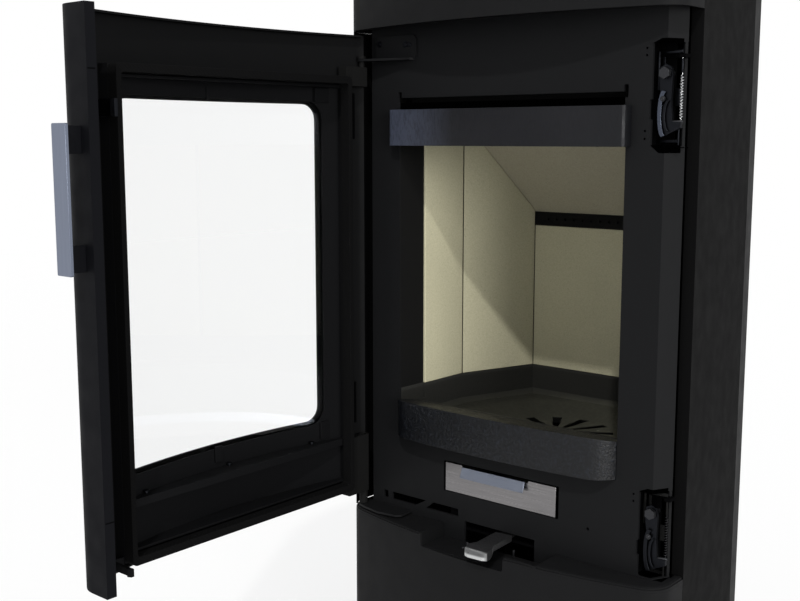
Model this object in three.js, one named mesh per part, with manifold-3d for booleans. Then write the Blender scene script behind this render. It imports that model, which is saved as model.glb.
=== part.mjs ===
// Curved-front log-burning stove with its door standing open.
// Millimetres, +Z up, +X to the viewer's right, front towards -Y.
// Origin: underside of the base plate, on the centreline, in the plane of the firebox front plate.
import * as THREE from 'three';
import { mergeVertices } from 'three/addons/utils/BufferGeometryUtils.js';
import Module from 'manifold-3d';

const wasm = await Module();
wasm.setup();
const { Manifold, Mesh: SolidMesh } = wasm;

// ---------------------------------------------------------------- sizes
const GAP = 0.3; // running gap between neighbouring pieces
const WIDTH = 500; // across the covers
const FRONT_R = 890; // radius of the bowed front
const CORNER_R = 33.8; // radius of the front's vertical corners
const FRONT_Y = -57.3; // foremost point of the bow
const SIDE_Y = 35; // where covers end and side panels start
const REAR_Y = 330; // outside of the rear panel
const REAR_TAPER = 59; // how far each side draws in towards the back
const REAR_WIDTH = WIDTH - 2 * REAR_TAPER;
const REAR_WRAP = 34; // how far the rear panel folds round the sides
const BASE_T = 3;
const LOWER_COVER_H = 230; // floor to the top of the lower cover
const BAY_H = 674.5; // opening for the door between the covers
const UPPER_COVER_H = 135.5;
const DOOR_ZONE_Z = LOWER_COVER_H;
const UPPER_COVER_Z = DOOR_ZONE_Z + BAY_H;
const TOP_Z = UPPER_COVER_Z + UPPER_COVER_H;
const TOP_T = 4;
const COVER_T = 3;
const COVER_FILLET = 6;
const COVER_RETURN = 12; // inner lip of the upper cover
const PANEL_T = 2;
const FLANGE_W = 16; // front return of the side panels

const FOOT_SCREW_R = 5; // levelling screws, wound up into the base
const FOOT_SCREW_H = 24;
const FOOT_NUT = [11, 6]; // radius and height
const FOOT_INSET = [60, 30, 45]; // from the sides in front, from the sides behind, from the rear

const PLATE_T = 4; // firebox front plate
const PLATE_INSET = 26; // from the side of the covers to the plate's bend
const PLATE_HALF = WIDTH / 2 - PLATE_INSET;
const PLATE_BEND = [13, 25]; // run of the bent wing, X and Y
const PLATE_Z = [DOOR_ZONE_Z - 40, UPPER_COVER_Z + 67.5];
const FIRE_BORDER = 50; // plate between its bend and the fire opening
const FIRE_HALF = PLATE_HALF - FIRE_BORDER;
const FIRE_SILL = 115; // lower cover to the fire opening
const FIRE_HEAD = 155.5; // fire opening to the upper cover
const FIRE_Z = [DOOR_ZONE_Z + FIRE_SILL, UPPER_COVER_Z - FIRE_HEAD];
const SLOT_HALF = FIRE_HALF - 1; // air slot over the lintel
const SLOT_Z = [FIRE_Z[1] + 57, FIRE_Z[1] + 64];
const LINTEL_HALF = FIRE_HALF + 7; // air-wash lintel
const LINTEL_H = 48;
const LINTEL_Z = [FIRE_Z[1], FIRE_Z[1] + LINTEL_H];
const LINTEL_Y = -17;
const LINTEL_T = 3;
const LINTEL_R = 7;

const SHELL_T = 3; // welded firebox shell
const SHELL_Z = [DOOR_ZONE_Z + 32, TOP_Z - 60];
const LINING_HALF = FIRE_HALF - 2; // inner face of the front side bricks
const LINING_T = 22;
const LINING_Y = [55, 143]; // front side bricks, front to back
const BACK_TAPER = 43; // how far the rear side bricks draw in
const BACK_HALF = LINING_HALF - BACK_TAPER;
const BACK_Y = 270; // face of the back brick
const LINING_Z = [FIRE_Z[0] + 63, FIRE_Z[1] + 11];
const STRIP_Z = [FIRE_Z[1] - 122, FIRE_Z[1] - 102]; // secondary air strip
const STRIP_HOLE_R = 1.8;
const STRIP_PITCH = 15;
const BAFFLE_T = 25;
const BAFFLE_FOOT = [BACK_Y - 2, FIRE_Z[1] - 97]; // Y and Z of the baffle's lower rear edge
const BAFFLE_HEAD = [165, FIRE_Z[1] + 13]; // Y and Z of its upper front edge
const DEFLECTOR_Z = FIRE_Z[1] + 121;
const DEFLECTOR_Y = 90;
const DEFLECTOR_T = 4;

const GRATE_Y = 134; // centre of the round grate
const GRATE_R = 88;
const GRATE_Z = FIRE_Z[0] + 5;
const GRATE_T = 9;
const GRATE_SLOTS = 12;
const GRATE_SLOT_R = [19, 81];
const GRATE_SLOT_W = [5, 15];
const DISH_R = 122; // rim of the dish round the grate
const BOWL_FLOOR_Z = GRATE_Z + 14;
const BOWL_T = 10;
const BOWL_WALL_T = 8;
const BOWL_CHAMFER = 7; // foot of the walls
const LIP_HALF = FIRE_HALF + 2; // cast ash lip
const LIP_H = 52.7;
const LIP_Z = [FIRE_Z[0] + 2 * GAP, FIRE_Z[0] + 2 * GAP + LIP_H];
const LIP_Y = [-31, 31];
const LIP_BOW_R = 1500;
const LIP_CORNER_R = 38;
const LIP_T = 8;
const LIP_FALL = 12; // how far its top drops to the back

const DRAWER_HALF = 89; // stainless ash drawer front
const DRAWER_H = 40;
const DRAWER_Z = [DOOR_ZONE_Z + 48.5, DOOR_ZONE_Z + 48.5 + DRAWER_H];
const DRAWER_DEPTH = 205;
const DRAWER_SIDE = 5; // front plate of the drawer beyond its body
const DRAWER_T = 1.2;
const DRAWER_FACE_T = 1.5;
const DRAWER_PLAY = 1.5; // round the front in its opening
const CHAMBER_SIDE = 12; // from the drawer's body to the chamber's outside
const CHAMBER_T = 3;
const RAIL_SET = 12; // rails under the drawer, in from its side
const RAIL_W = 8;

const LEVER_PIVOT_Y = 165; // primary air lever, swings about a pin under the firebox
const LEVER_REST = 4; // degrees off the centreline
const LEVER_W = 18;
const LEVER_T = 4;
const LEVER_Z = DOOR_ZONE_Z + 6;
const LEVER_REACH = 215; // pin to the arm's end
const DAMPER_R = 46; // disc that opens and shuts the air port
const DAMPER_PORT_R = [16, 38];
const GRIP_REACH = [170, 242];
const GRIP_W = [25, 36];
const GRIP_T = 8;
const GRIP_DROP = 9;
const LEVER_SLOT_HALF = 57; // slot in the front plate
const LEVER_SLOT_Z = [LEVER_Z - 36, LEVER_Z + 8];
const AIRBOX_HALF = 84;
const AIRBOX_T = 3;
const AIR_INLET = [[-60, 60], [30, 110]]; // hole through shell and chamber floor, X and Y
const NOTCH_HALF = 92; // recess round the lever in the lower cover
const NOTCH_Y = -50;
const NOTCH_Z = DOOR_ZONE_Z - 19;
const NOTCH_T = 2;

const PIN_INSET = 23; // door pin from the side of the covers
const PIN_AHEAD = 22.246018176024; // door pin in front of the corners' centres
const PIN_R = 4;
const PIN_CLEAR = 0.06; // knuckle on its pin
const PIN_FIT = 0.02; // pin in its bracket
const KNUCKLE_R = 6.5;
const HINGE_T = 3;
const UPPER_HINGE_Z = UPPER_COVER_Z - 41.5;
const LOWER_HINGE_Z = DOOR_ZONE_Z + 2;
const UPPER_KNUCKLE_Z = [UPPER_HINGE_Z - 34, UPPER_HINGE_Z - 8];
const LOWER_KNUCKLE_Z = [DOOR_ZONE_Z + 24, DOOR_ZONE_Z + 108];
const HINGE_PLATE_W = 71;
const HINGE_PLATE_H = 33;
const DOOR_OPEN = 89.8; // degrees that the door stands open
const DOOR_Z = [DOOR_ZONE_Z + 25.5, UPPER_COVER_Z - 6.5];
const SKIN_T = 2.5;
const SKIN_LEFT_DEG = 21; // how far the skin follows the hinge-side corner
const SKIN_END_Y = SIDE_Y - 2;
const SKIN_CURL = 12.5; // inward fold along the free edge
const SKIN_RAIL = 9; // folds along the top and the bottom
const POST_FRONT_DEG = 33; // where the hinge-side post starts on the corner
const RING_T = 2.5; // inner frame that carries the seal
const RING_HALF = LINTEL_HALF + 6;
const RING_Z = [DOOR_Z[0] + 10.5, DOOR_Z[1] - 57];
const RING_BACK_Y = -17;
const SEAL_W = 7; // rope at the sides
const SEAL_H = 10; // rope along the top and the bottom
const CHANNEL_WALL = [11.5, 14]; // inner wall of the rope channel from the frame's edge
const WINDOW_X = [30 - RING_HALF, RING_HALF - 16]; // glass opening in the door
const WINDOW_Z = [RING_Z[0] + 102, RING_Z[1] - 37];
const WINDOW_R = 20;
const GLASS_T = 4;
const GLASS_LAP = 9;
const GLASS_SEAT = 1; // skin to glass
const SHELF_Z = RING_Z[0] + 70;
const SHELF_T = 3;
const SHELF_BACK_Y = RING_BACK_Y - 2;

const POCKET_X = PLATE_HALF - 18; // latch pockets in the front plate
const UPPER_TAB_Z = FIRE_Z[1] + 42.6;
const LOWER_TAB_Z = DOOR_ZONE_Z + 40;
const UPPER_POCKET_Z = [UPPER_TAB_Z - 41.6, UPPER_TAB_Z + 75.4];
const LOWER_POCKET_Z = [LOWER_TAB_Z - 39, LOWER_TAB_Z + 69];
const LATCH_DROP = 41; // pivot to the middle of the tab
const TAB_T = 4;
const TAB_X = [POCKET_X - 1.4, POCKET_X - 1.4 + TAB_T];
const TAB_H = 19;
const LOWER_TAB_H = 9.4;
const CAM_Y = [8, 13];
const CAM_CLEAR = 0.6; // cam beside the tab
const LATCH_PIVOT_X = PLATE_HALF - 5;
const LATCH_HEAD_R = 7;
const LATCH_PLATE_Y = 24.3;
const LATCH_PLATE_T = 2;
const LATCH_PLATE_X = [PLATE_HALF - 25, PLATE_HALF - 1];
const LATCH_PLATE_Z = [-44, 78]; // about the tab
const SPRING_X = PLATE_HALF + 12;
const SPRING_Y = 14;
const SPRING_R = 4;
const SPRING_Z = [-12.7, 57]; // about the tab
const WIRE_R = 0.75;
const SPRING_TURNS = 14;

const HANDLE_L = 159;
const HANDLE_MID_Z = UPPER_COVER_Z - 209.5;
const HANDLE_Z = [HANDLE_MID_Z - HANDLE_L / 2, HANDLE_MID_Z + HANDLE_L / 2];
const HANDLE_W = 25;
const HANDLE_T = 4;
const HANDLE_STANDOFF = 22;
const HANDLE_SET = 4; // from the skin's end
const MOUNT_H = 29;
const MOUNT_T = 6;
const MOUNT_INSET = 17; // mount's middle from the handle's end

const COLLAR_R = 74;
const COLLAR_T = 3;
const COLLAR_FLANGE = 12;
const COLLAR_Y = 215;
const COLLAR_TOP = TOP_Z + 12;
const OUTLET_R = 78; // blanked rear flue outlet
const OUTLET_Z = TOP_Z - 190;
const OUTLET_LAP = 8;
const VENT_Z = [70, 90, 110, TOP_Z - 100, TOP_Z - 80, TOP_Z - 60]; // rows of slots in the rear panel
const VENT_PITCH = 62;
const VENT_L = 48;
const VENT_H = 8;
const FAR = 2 * TOP_Z; // beyond every piece

// ---------------------------------------------------------------- helpers
const rad = THREE.MathUtils.degToRad;
const metal = (color, roughness = 0.6, metalness = 0.7) =>
  new THREE.MeshStandardMaterial({ color, roughness, metalness });
const BLACK_PAINT = () => metal(0x1f2022, 0.62, 0.3);
const DARK_STEEL = () => metal(0x1a1a1a, 0.7, 0.4);
const CAST = () => metal(0x232426, 0.8, 0.4);
const VERMICULITE = () => metal(0x9d987f, 0.95, 0);
const STAINLESS = () => metal(0x8f939a, 0.35, 0.9);
const CHROME = () => metal(0xc9ccd2, 0.15, 1);

function toSolid(geometry) {
  const bare = geometry.clone();
  bare.deleteAttribute('normal');
  bare.deleteAttribute('uv');
  const merged = mergeVertices(bare, 1e-4);
  return new Manifold(new SolidMesh({
    numProp: 3,
    vertProperties: Float32Array.from(merged.attributes.position.array),
    triVerts: Uint32Array.from(merged.index.array),
  }));
}

function toGeometry(solid) {
  const mesh = solid.getMesh();
  const geometry = new THREE.BufferGeometry();
  geometry.setAttribute('position', new THREE.BufferAttribute(mesh.vertProperties, 3));
  geometry.setIndex(new THREE.BufferAttribute(mesh.triVerts, 1));
  geometry.computeVertexNormals();
  return geometry;
}

const shapeOf = (points) => new THREE.Shape(points.map(([x, y]) => new THREE.Vector2(x, y)));

// prisms: a plan outline raised in Z, a front view pushed along Y, a side view pushed along X
function prismZ(points, [z0, z1]) {
  const g = new THREE.ExtrudeGeometry(shapeOf(points), { depth: z1 - z0, bevelEnabled: false });
  return toSolid(g.translate(0, 0, z0));
}

function prismY(points, [y0, y1]) {
  const g = new THREE.ExtrudeGeometry(shapeOf(points), { depth: y1 - y0, bevelEnabled: false });
  return toSolid(g.rotateX(Math.PI / 2).translate(0, y1, 0));
}

function prismX(points, [x0, x1]) {
  const g = new THREE.ExtrudeGeometry(shapeOf(points), { depth: x1 - x0, bevelEnabled: false });
  const turn = new THREE.Matrix4().set(0, 0, 1, x0, 1, 0, 0, 0, 0, 1, 0, 0, 0, 0, 0, 1);
  return toSolid(g.applyMatrix4(turn));
}

function block([x0, x1], [y0, y1], [z0, z1]) {
  const g = new THREE.BoxGeometry(x1 - x0, y1 - y0, z1 - z0);
  return toSolid(g.translate((x0 + x1) / 2, (y0 + y1) / 2, (z0 + z1) / 2));
}

function roundRect([x0, x1], [y0, y1], r, steps = 5) {
  const corners = [[x1 - r, y1 - r, 0], [x0 + r, y1 - r, 90], [x0 + r, y0 + r, 180], [x1 - r, y0 + r, 270]];
  const points = [];
  for (const [cx, cy, start] of corners) {
    for (let i = 0; i <= steps; i += 1) {
      const a = rad(start + (90 * i) / steps);
      points.push([cx + r * Math.cos(a), cy + r * Math.sin(a)]);
    }
  }
  return points;
}

// a turned solid about Z from [radius, height] pairs that start and end on the axis
function turned(profile, segments = 24) {
  const g = new THREE.LatheGeometry(profile.map(([r, z]) => new THREE.Vector2(r, z)), segments);
  return toSolid(g.rotateX(Math.PI / 2));
}

function rod(r, [z0, z1], segments = 16) {
  return turned([[0, z0], [r, z0], [r, z1], [0, z1]], segments);
}

const alongY = (solid) => solid.rotate([-90, 0, 0]);
const pinY = (r, [y0, y1], x, z, segments = 16) => alongY(rod(r, [y0, y1], segments)).translate([x, 0, z]);
const unite = (solids) => solids.reduce((sum, next) => sum.add(next));
const carve = (solid, cutters) => cutters.reduce((rest, next) => rest.subtract(next), solid);

// ---------------------------------------------------------------- plan of the bowed front
const ARC_CY = FRONT_Y + FRONT_R;
const CORNER_X = WIDTH / 2 - CORNER_R;
const CORNER_Y = ARC_CY - Math.sqrt((FRONT_R - CORNER_R) ** 2 - CORNER_X ** 2);
const TANGENT = Math.atan2(CORNER_Y - ARC_CY, CORNER_X);
const TUCK_Y = CORNER_Y + 1; // just behind the corners
const HINGE = [PIN_INSET - WIDTH / 2, CORNER_Y - PIN_AHEAD]; // door pin

// right half, from the centre to the end, at a depth inside the outer face
function halfFront(inset, endY, cornerDeg = 90, arcSteps = 9, cornerSteps = 7) {
  const points = [];
  const r = FRONT_R - inset;
  for (let i = 0; i <= arcSteps; i += 1) {
    const a = -Math.PI / 2 + ((TANGENT + Math.PI / 2) * i) / arcSteps;
    points.push([r * Math.cos(a), ARC_CY + r * Math.sin(a)]);
  }
  const c = CORNER_R - inset;
  const sweep = Math.min(-TANGENT, rad(cornerDeg));
  for (let i = 1; i <= cornerSteps; i += 1) {
    const a = TANGENT + (sweep * i) / cornerSteps;
    points.push([CORNER_X + c * Math.cos(a), CORNER_Y + c * Math.sin(a)]);
  }
  if (endY !== null) points.push([WIDTH / 2 - inset, endY]);
  return points;
}

const mirrored = (points) => points.map(([x, y]) => [-x, y]);

function fullFront(inset, endY) {
  const right = halfFront(inset, endY);
  return [...mirrored(right).reverse(), ...right.slice(1)];
}

function bowStrip(inner, outer, endY) {
  return [...fullFront(outer, endY), ...fullFront(inner, endY).reverse()];
}

const SIDE_SLOPE = (WIDTH - REAR_WIDTH) / 2 / (REAR_Y - SIDE_Y);
const sideX = (y, inset = 0) => WIDTH / 2 - (y - SIDE_Y) * SIDE_SLOPE - inset;

function footprint(inset) {
  const rear = REAR_Y - inset;
  return [...fullFront(inset, SIDE_Y), [sideX(rear, inset), rear], [-sideX(rear, inset), rear]];
}

// ---------------------------------------------------------------- scene graph
const stove = new THREE.Group();
const door = new THREE.Group();
door.position.set(HINGE[0], HINGE[1], 0);
door.rotation.z = -rad(DOOR_OPEN);
stove.add(door);

function place(name, solid, material, parent = stove) {
  const mesh = new THREE.Mesh(toGeometry(solid), material);
  mesh.name = name;
  parent.add(mesh);
  return mesh;
}

// door pieces are drawn where they stand when the door is shut
const onDoor = (name, solid, material) =>
  place(name, solid.translate([-HINGE[0], -HINGE[1], 0]), material, door);

// ---------------------------------------------------------------- base, covers and casing
const FOOT_SPOTS = {
  front_left: [FOOT_INSET[0] - WIDTH / 2, 5],
  front_right: [WIDTH / 2 - FOOT_INSET[0], 5],
  rear_left: [FOOT_INSET[1] - REAR_WIDTH / 2, REAR_Y - FOOT_INSET[2]],
  rear_right: [REAR_WIDTH / 2 - FOOT_INSET[1], REAR_Y - FOOT_INSET[2]],
};
function basePlate() {
  const holes = Object.values(FOOT_SPOTS).map(([x, y]) =>
    rod(FOOT_SCREW_R + GAP, [-1, BASE_T + 1], 20).translate([x, y, 0]));
  return carve(prismZ(footprint(0.5), [0, BASE_T]), holes);
}
place('base_plate', basePlate(), DARK_STEEL());

function levellingFoot() {
  const seat = BASE_T + GAP;
  const [nutR, nutH] = FOOT_NUT;
  return turned([[0, GAP], [FOOT_SCREW_R, GAP], [FOOT_SCREW_R, seat], [nutR, seat], [nutR, seat + nutH],
    [FOOT_SCREW_R, seat + nutH], [FOOT_SCREW_R, FOOT_SCREW_H], [0, FOOT_SCREW_H]], 20);
}
for (const [spot, [x, y]] of Object.entries(FOOT_SPOTS)) {
  place(`foot_${spot}`, levellingFoot().translate([x, y, 0]), DARK_STEEL());
}

const CASING_Z0 = BASE_T + GAP;
const CASING_Z1 = TOP_Z - TOP_T - GAP;
const wing = (y, inset) => [PLATE_HALF - inset + (PLATE_BEND[0] * y) / PLATE_BEND[1], y];

function lowerCover() {
  const roof = DOOR_ZONE_Z - COVER_T;
  const skirt = prismZ(bowStrip(COVER_T, 0, SIDE_Y), [CASING_Z0, roof - COVER_FILLET + COVER_T]);
  const layers = [skirt];
  const steps = 3;
  for (let i = 0; i < steps; i += 1) {
    const low = (90 * i) / steps;
    const high = (90 * (i + 1)) / steps;
    const mid = rad((low + high) / 2);
    const inset = COVER_FILLET * (1 - Math.cos(mid));
    const z0 = DOOR_ZONE_Z - COVER_FILLET + COVER_FILLET * Math.sin(rad(low));
    const z1 = DOOR_ZONE_Z - COVER_FILLET + COVER_FILLET * Math.sin(rad(high));
    layers.push(prismZ(bowStrip(COVER_FILLET + 2, inset, SIDE_Y), [z0, z1]));
  }
  const shelfRight = halfFront(COVER_T, SIDE_Y);
  const [wingEndX, wingEndY] = wing(PLATE_BEND[1], -2);
  const edge = [...shelfRight, [wingEndX, SIDE_Y], [wingEndX, wingEndY], [wing(0, -2)[0], -GAP]];
  const shelf = prismZ([...edge, ...mirrored(edge).reverse()], [roof, DOOR_ZONE_Z - 0.4]);
  const notch = block([-NOTCH_HALF, NOTCH_HALF], [NOTCH_Y, 5], [roof - 4, DOOR_ZONE_Z + 2]);
  const w = NOTCH_T;
  const tray = block([-NOTCH_HALF - w, NOTCH_HALF + w], [NOTCH_Y - w, -GAP], [NOTCH_Z - w, DOOR_ZONE_Z - 1]);
  const well = block([-NOTCH_HALF, NOTCH_HALF], [NOTCH_Y, 5], [NOTCH_Z, DOOR_ZONE_Z + 2]);
  return carve(unite([...layers, shelf, tray]), [notch, well]);
}
place('lower_cover', lowerCover(), BLACK_PAINT());

function upperCover() {
  const skin = prismZ(bowStrip(COVER_T, 0, SIDE_Y), [UPPER_COVER_Z, CASING_Z1]);
  const lip = prismZ(bowStrip(COVER_T + COVER_RETURN, 0.5, SIDE_Y), [UPPER_COVER_Z, UPPER_COVER_Z + COVER_T]);
  const wings = [-1, 1].map((s) =>
    prismZ([[s * (PLATE_HALF + 2), -12], [s * WIDTH, -12], [s * WIDTH, 60], [s * (PLATE_HALF + 16), 60],
      [s * (PLATE_HALF + 2), 0]], [UPPER_COVER_Z - 1, UPPER_COVER_Z + COVER_T + 1]));
  const inside = prismZ(fullFront(COVER_T, 60), [UPPER_COVER_Z - 2, UPPER_COVER_Z + COVER_T + 2]);
  return carve(skin.add(lip), wings.map((w) => w.intersect(inside)));
}
place('upper_cover', upperCover(), BLACK_PAINT());

const WRAP_Y = REAR_Y - REAR_WRAP;
function sidePanel(side) {
  const y0 = SIDE_Y + 0.6;
  const plan = [
    [WIDTH / 2 - FLANGE_W, y0], [WIDTH / 2, y0], [sideX(WRAP_Y), WRAP_Y],
    [sideX(WRAP_Y, PANEL_T), WRAP_Y], [WIDTH / 2 - PANEL_T, y0 + PANEL_T],
    [WIDTH / 2 - FLANGE_W, y0 + PANEL_T],
  ].map(([x, y]) => [side * x, y]);
  return prismZ(plan, [CASING_Z0, CASING_Z1]);
}
place('side_panel_left', sidePanel(-1), BLACK_PAINT());
place('side_panel_right', sidePanel(1), BLACK_PAINT());

function hingePost() {
  const outer = [];
  const inner = [];
  const start = rad(POST_FRONT_DEG) + TANGENT;
  for (let i = 0; i <= 5; i += 1) {
    const a = start + (-start * i) / 5;
    outer.push([-CORNER_X - CORNER_R * Math.cos(a), CORNER_Y + CORNER_R * Math.sin(a)]);
    const c = CORNER_R - SKIN_T;
    inner.push([-CORNER_X - c * Math.cos(a), CORNER_Y + c * Math.sin(a)]);
  }
  outer.push([-WIDTH / 2, SIDE_Y]);
  inner.push([-WIDTH / 2 + SKIN_T, SIDE_Y]);
  return prismZ([...outer, ...inner.reverse()], [DOOR_ZONE_Z + GAP, UPPER_COVER_Z - GAP]);
}
place('hinge_side_post', hingePost(), BLACK_PAINT());

function rearPanel() {
  const t = PANEL_T;
  const y0 = WRAP_Y + 0.6;
  const outer = [[sideX(y0), y0], [sideX(REAR_Y), REAR_Y], [-sideX(REAR_Y), REAR_Y], [-sideX(y0), y0]];
  const inner = [[-sideX(y0, t), y0], [-sideX(REAR_Y - t, t), REAR_Y - t], [sideX(REAR_Y - t, t), REAR_Y - t],
    [sideX(y0, t), y0]];
  const sheet = prismZ([...outer, ...inner], [CASING_Z0, CASING_Z1]);
  const cuts = [];
  const through = [REAR_Y - 8, REAR_Y + 8];
  for (const z of VENT_Z) {
    for (let i = -2; i <= 2; i += 1) {
      const x = i * VENT_PITCH;
      const slot = roundRect([x - VENT_L / 2, x + VENT_L / 2], [z, z + VENT_H], VENT_H / 2 - 0.1, 2);
      cuts.push(prismY(slot, through));
    }
  }
  cuts.push(pinY(OUTLET_R, through, 0, OUTLET_Z, 32));
  return carve(sheet, cuts);
}
place('rear_panel', rearPanel(), DARK_STEEL());
const blank = pinY(OUTLET_R + OUTLET_LAP, [REAR_Y, REAR_Y + 2], 0, OUTLET_Z, 32);
const plug = pinY(OUTLET_R - 0.5, [REAR_Y - 6, REAR_Y + 1], 0, OUTLET_Z, 32);
place('rear_outlet_cover', blank.translate([0, GAP, 0]).add(plug), DARK_STEEL());

const topHole = rod(COLLAR_R + 3, [TOP_Z - 10, TOP_Z + 10], 40).translate([0, COLLAR_Y, 0]);
place('top_plate', prismZ(footprint(0), [TOP_Z - TOP_T, TOP_Z]).subtract(topHole), BLACK_PAINT());
const collar = turned([[COLLAR_R - COLLAR_T, SHELL_Z[1] + GAP], [COLLAR_R + COLLAR_FLANGE, SHELL_Z[1] + GAP],
  [COLLAR_R + COLLAR_FLANGE, SHELL_Z[1] + 4], [COLLAR_R, SHELL_Z[1] + 4], [COLLAR_R, COLLAR_TOP],
  [COLLAR_R - COLLAR_T, COLLAR_TOP], [COLLAR_R - COLLAR_T, SHELL_Z[1] + GAP]], 40);
place('flue_collar', collar.translate([0, COLLAR_Y, 0]), CAST());

// ---------------------------------------------------------------- firebox shell and front plate
const SIDE_RUN = (LINING_HALF - BACK_HALF) / (BACK_Y - LINING_Y[1]);
const SIDE_LEN = Math.hypot(1, SIDE_RUN);
// firebox plan at a distance outside the brick faces, from the front edge y0
function fireboxPlan(offset, y0) {
  const rearY = BACK_Y + offset;
  const turnX = LINING_HALF + offset;
  const turnY = LINING_Y[1] + offset * (SIDE_LEN - 1) / SIDE_RUN;
  const rearX = turnX - (rearY - turnY) * SIDE_RUN;
  return [[-turnX, y0], [turnX, y0], [turnX, turnY], [rearX, rearY], [-rearX, rearY], [-turnX, turnY]];
}
const SHELL_IN = LINING_T + GAP;
const SHELL_Y0 = PLATE_T + GAP;

function fireboxShell() {
  const outer = prismZ(fireboxPlan(SHELL_IN + SHELL_T, SHELL_Y0), SHELL_Z);
  const inner = prismZ(fireboxPlan(SHELL_IN, SHELL_Y0 - 5), [SHELL_Z[0] + SHELL_T, SHELL_Z[1] - SHELL_T]);
  const flue = rod(COLLAR_R - COLLAR_T, [SHELL_Z[1] - 10, SHELL_Z[1] + 5], 40).translate([0, COLLAR_Y, 0]);
  const air = block(...AIR_INLET, [SHELL_Z[0] - 5, SHELL_Z[0] + SHELL_T + 1]);
  return carve(outer, [inner, flue, air]);
}
place('firebox_shell', fireboxShell(), DARK_STEEL());

function frontPlate() {
  const [wx, wy] = PLATE_BEND;
  const run = Math.hypot(wx, wy);
  const nx = (-wy / run) * PLATE_T;
  const ny = (wx / run) * PLATE_T;
  const half = [[PLATE_HALF, 0], [PLATE_HALF + wx, wy], [PLATE_HALF + wx + nx, wy + ny],
    [PLATE_HALF - PLATE_T * 0.62, PLATE_T]];
  const plan = [...half, ...mirrored(half).reverse()];
  const sheet = prismZ(plan, PLATE_Z);
  const through = [-8, 60];
  const cut = (xs, zs, r) => prismY(roundRect(xs, zs, r, 4), through);
  const ventZ = [DOOR_ZONE_Z + 14, DOOR_ZONE_Z + 25];
  const [low, high] = ventZ;
  const cuts = [
    cut([-FIRE_HALF, FIRE_HALF], FIRE_Z, 1.5),
    cut([-SLOT_HALF, SLOT_HALF], SLOT_Z, 1.2),
    cut([-DRAWER_HALF - DRAWER_PLAY, DRAWER_HALF + DRAWER_PLAY],
      [DRAWER_Z[0] - DRAWER_PLAY, DRAWER_Z[1] + DRAWER_PLAY], 1.2),
    cut([-LEVER_SLOT_HALF, LEVER_SLOT_HALF], LEVER_SLOT_Z, 3),
    cut([POCKET_X, PLATE_HALF + 40], UPPER_POCKET_Z, 2),
    cut([POCKET_X, PLATE_HALF + 40], LOWER_POCKET_Z, 2),
    cut([TAB_X[0] - 1, POCKET_X + 5], [UPPER_TAB_Z - TAB_H / 2 - 2, UPPER_TAB_Z + TAB_H / 2 + 2], 0.8),
    cut([TAB_X[0] - 1, POCKET_X + 5], [LOWER_TAB_Z - TAB_H / 2 - 3, LOWER_TAB_Z + LOWER_TAB_H / 2 + 2], 0.8),
    cut([20 - PLATE_HALF, 29 - PLATE_HALF], ventZ, 1.2),
    prismY([[-188, low], [-145, low], [-125, high], [-188, high]], through),
    prismY([[-125, low], [-68, low], [-68, high], [-112, high]], through),
  ];
  for (const end of [-SLOT_HALF, SLOT_HALF]) {
    cuts.push(cut([end - 3, end + 3], [SLOT_Z[0], SLOT_Z[1] + 8], 1.2));
  }
  const rivets = [69.4, 61.4, -24.6, -33.6].map((z) => UPPER_TAB_Z + z);
  rivets.push(LOWER_TAB_Z + 63, LOWER_TAB_Z + 54);
  for (const z of rivets) cuts.push(pinY(1.6, through, POCKET_X - 7.6, z, 8));
  cuts.push(pinY(2.2, through, 136, DRAWER_Z[0] - 4.5, 10));
  return carve(sheet, cuts);
}
place('front_plate', frontPlate(), BLACK_PAINT());

function airWashLintel() {
  const back = -GAP;
  const r = LINTEL_R;
  const arc = (c, radius) => [0, 1, 2, 3].map((i) => {
    const a = -Math.PI / 2 + (Math.PI / 6) * i;
    return [c[0] + radius * Math.cos(a), c[1] + radius * Math.sin(a)];
  });
  const c = [LINTEL_HALF - r, LINTEL_Y + r];
  const outer = [...arc(c, r), [LINTEL_HALF, back]];
  const inner = [...arc(c, r - LINTEL_T), [LINTEL_HALF - LINTEL_T, back]];
  const wall = prismZ([...mirrored(outer).reverse(), ...outer, ...inner.slice().reverse(),
    ...mirrored(inner)], LINTEL_Z);
  const roofPlan = [...mirrored(outer).reverse(), ...outer];
  return wall.add(prismZ(roofPlan, [LINTEL_Z[1] - LINTEL_T, LINTEL_Z[1]]));
}
place('air_wash_lintel', airWashLintel(), metal(0x34373f, 0.45, 0.6));

for (const [side, s] of [['left', -1], ['right', 1]]) {
  const span = (near, far) => (s > 0 ? [near, far] : [-far, -near]);
  const low = block(span(FIRE_HALF + 1, FIRE_HALF + 4), [SHELL_Y0, LIP_Y[1] - GAP], [FIRE_Z[0], LINING_Z[1]]);
  const high = block(span(FIRE_HALF + 1, FIRE_HALF + 4), [SHELL_Y0, LINING_Y[0] - GAP], LINING_Z);
  const back = block(span(FIRE_HALF + 1, LINING_HALF + LINING_T), [LINING_Y[0] - GAP - 3, LINING_Y[0] - GAP],
    LINING_Z);
  place(`fire_jamb_${side}`, unite([low, high, back]), DARK_STEEL());
}

// ---------------------------------------------------------------- bricks, baffle and air strip
const SLOPE = (BAFFLE_HEAD[1] - BAFFLE_FOOT[1]) / (BAFFLE_FOOT[0] - BAFFLE_HEAD[0]);
const slopeZ = (y) => BAFFLE_FOOT[1] + (BAFFLE_FOOT[0] - y) * SLOPE;
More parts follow.
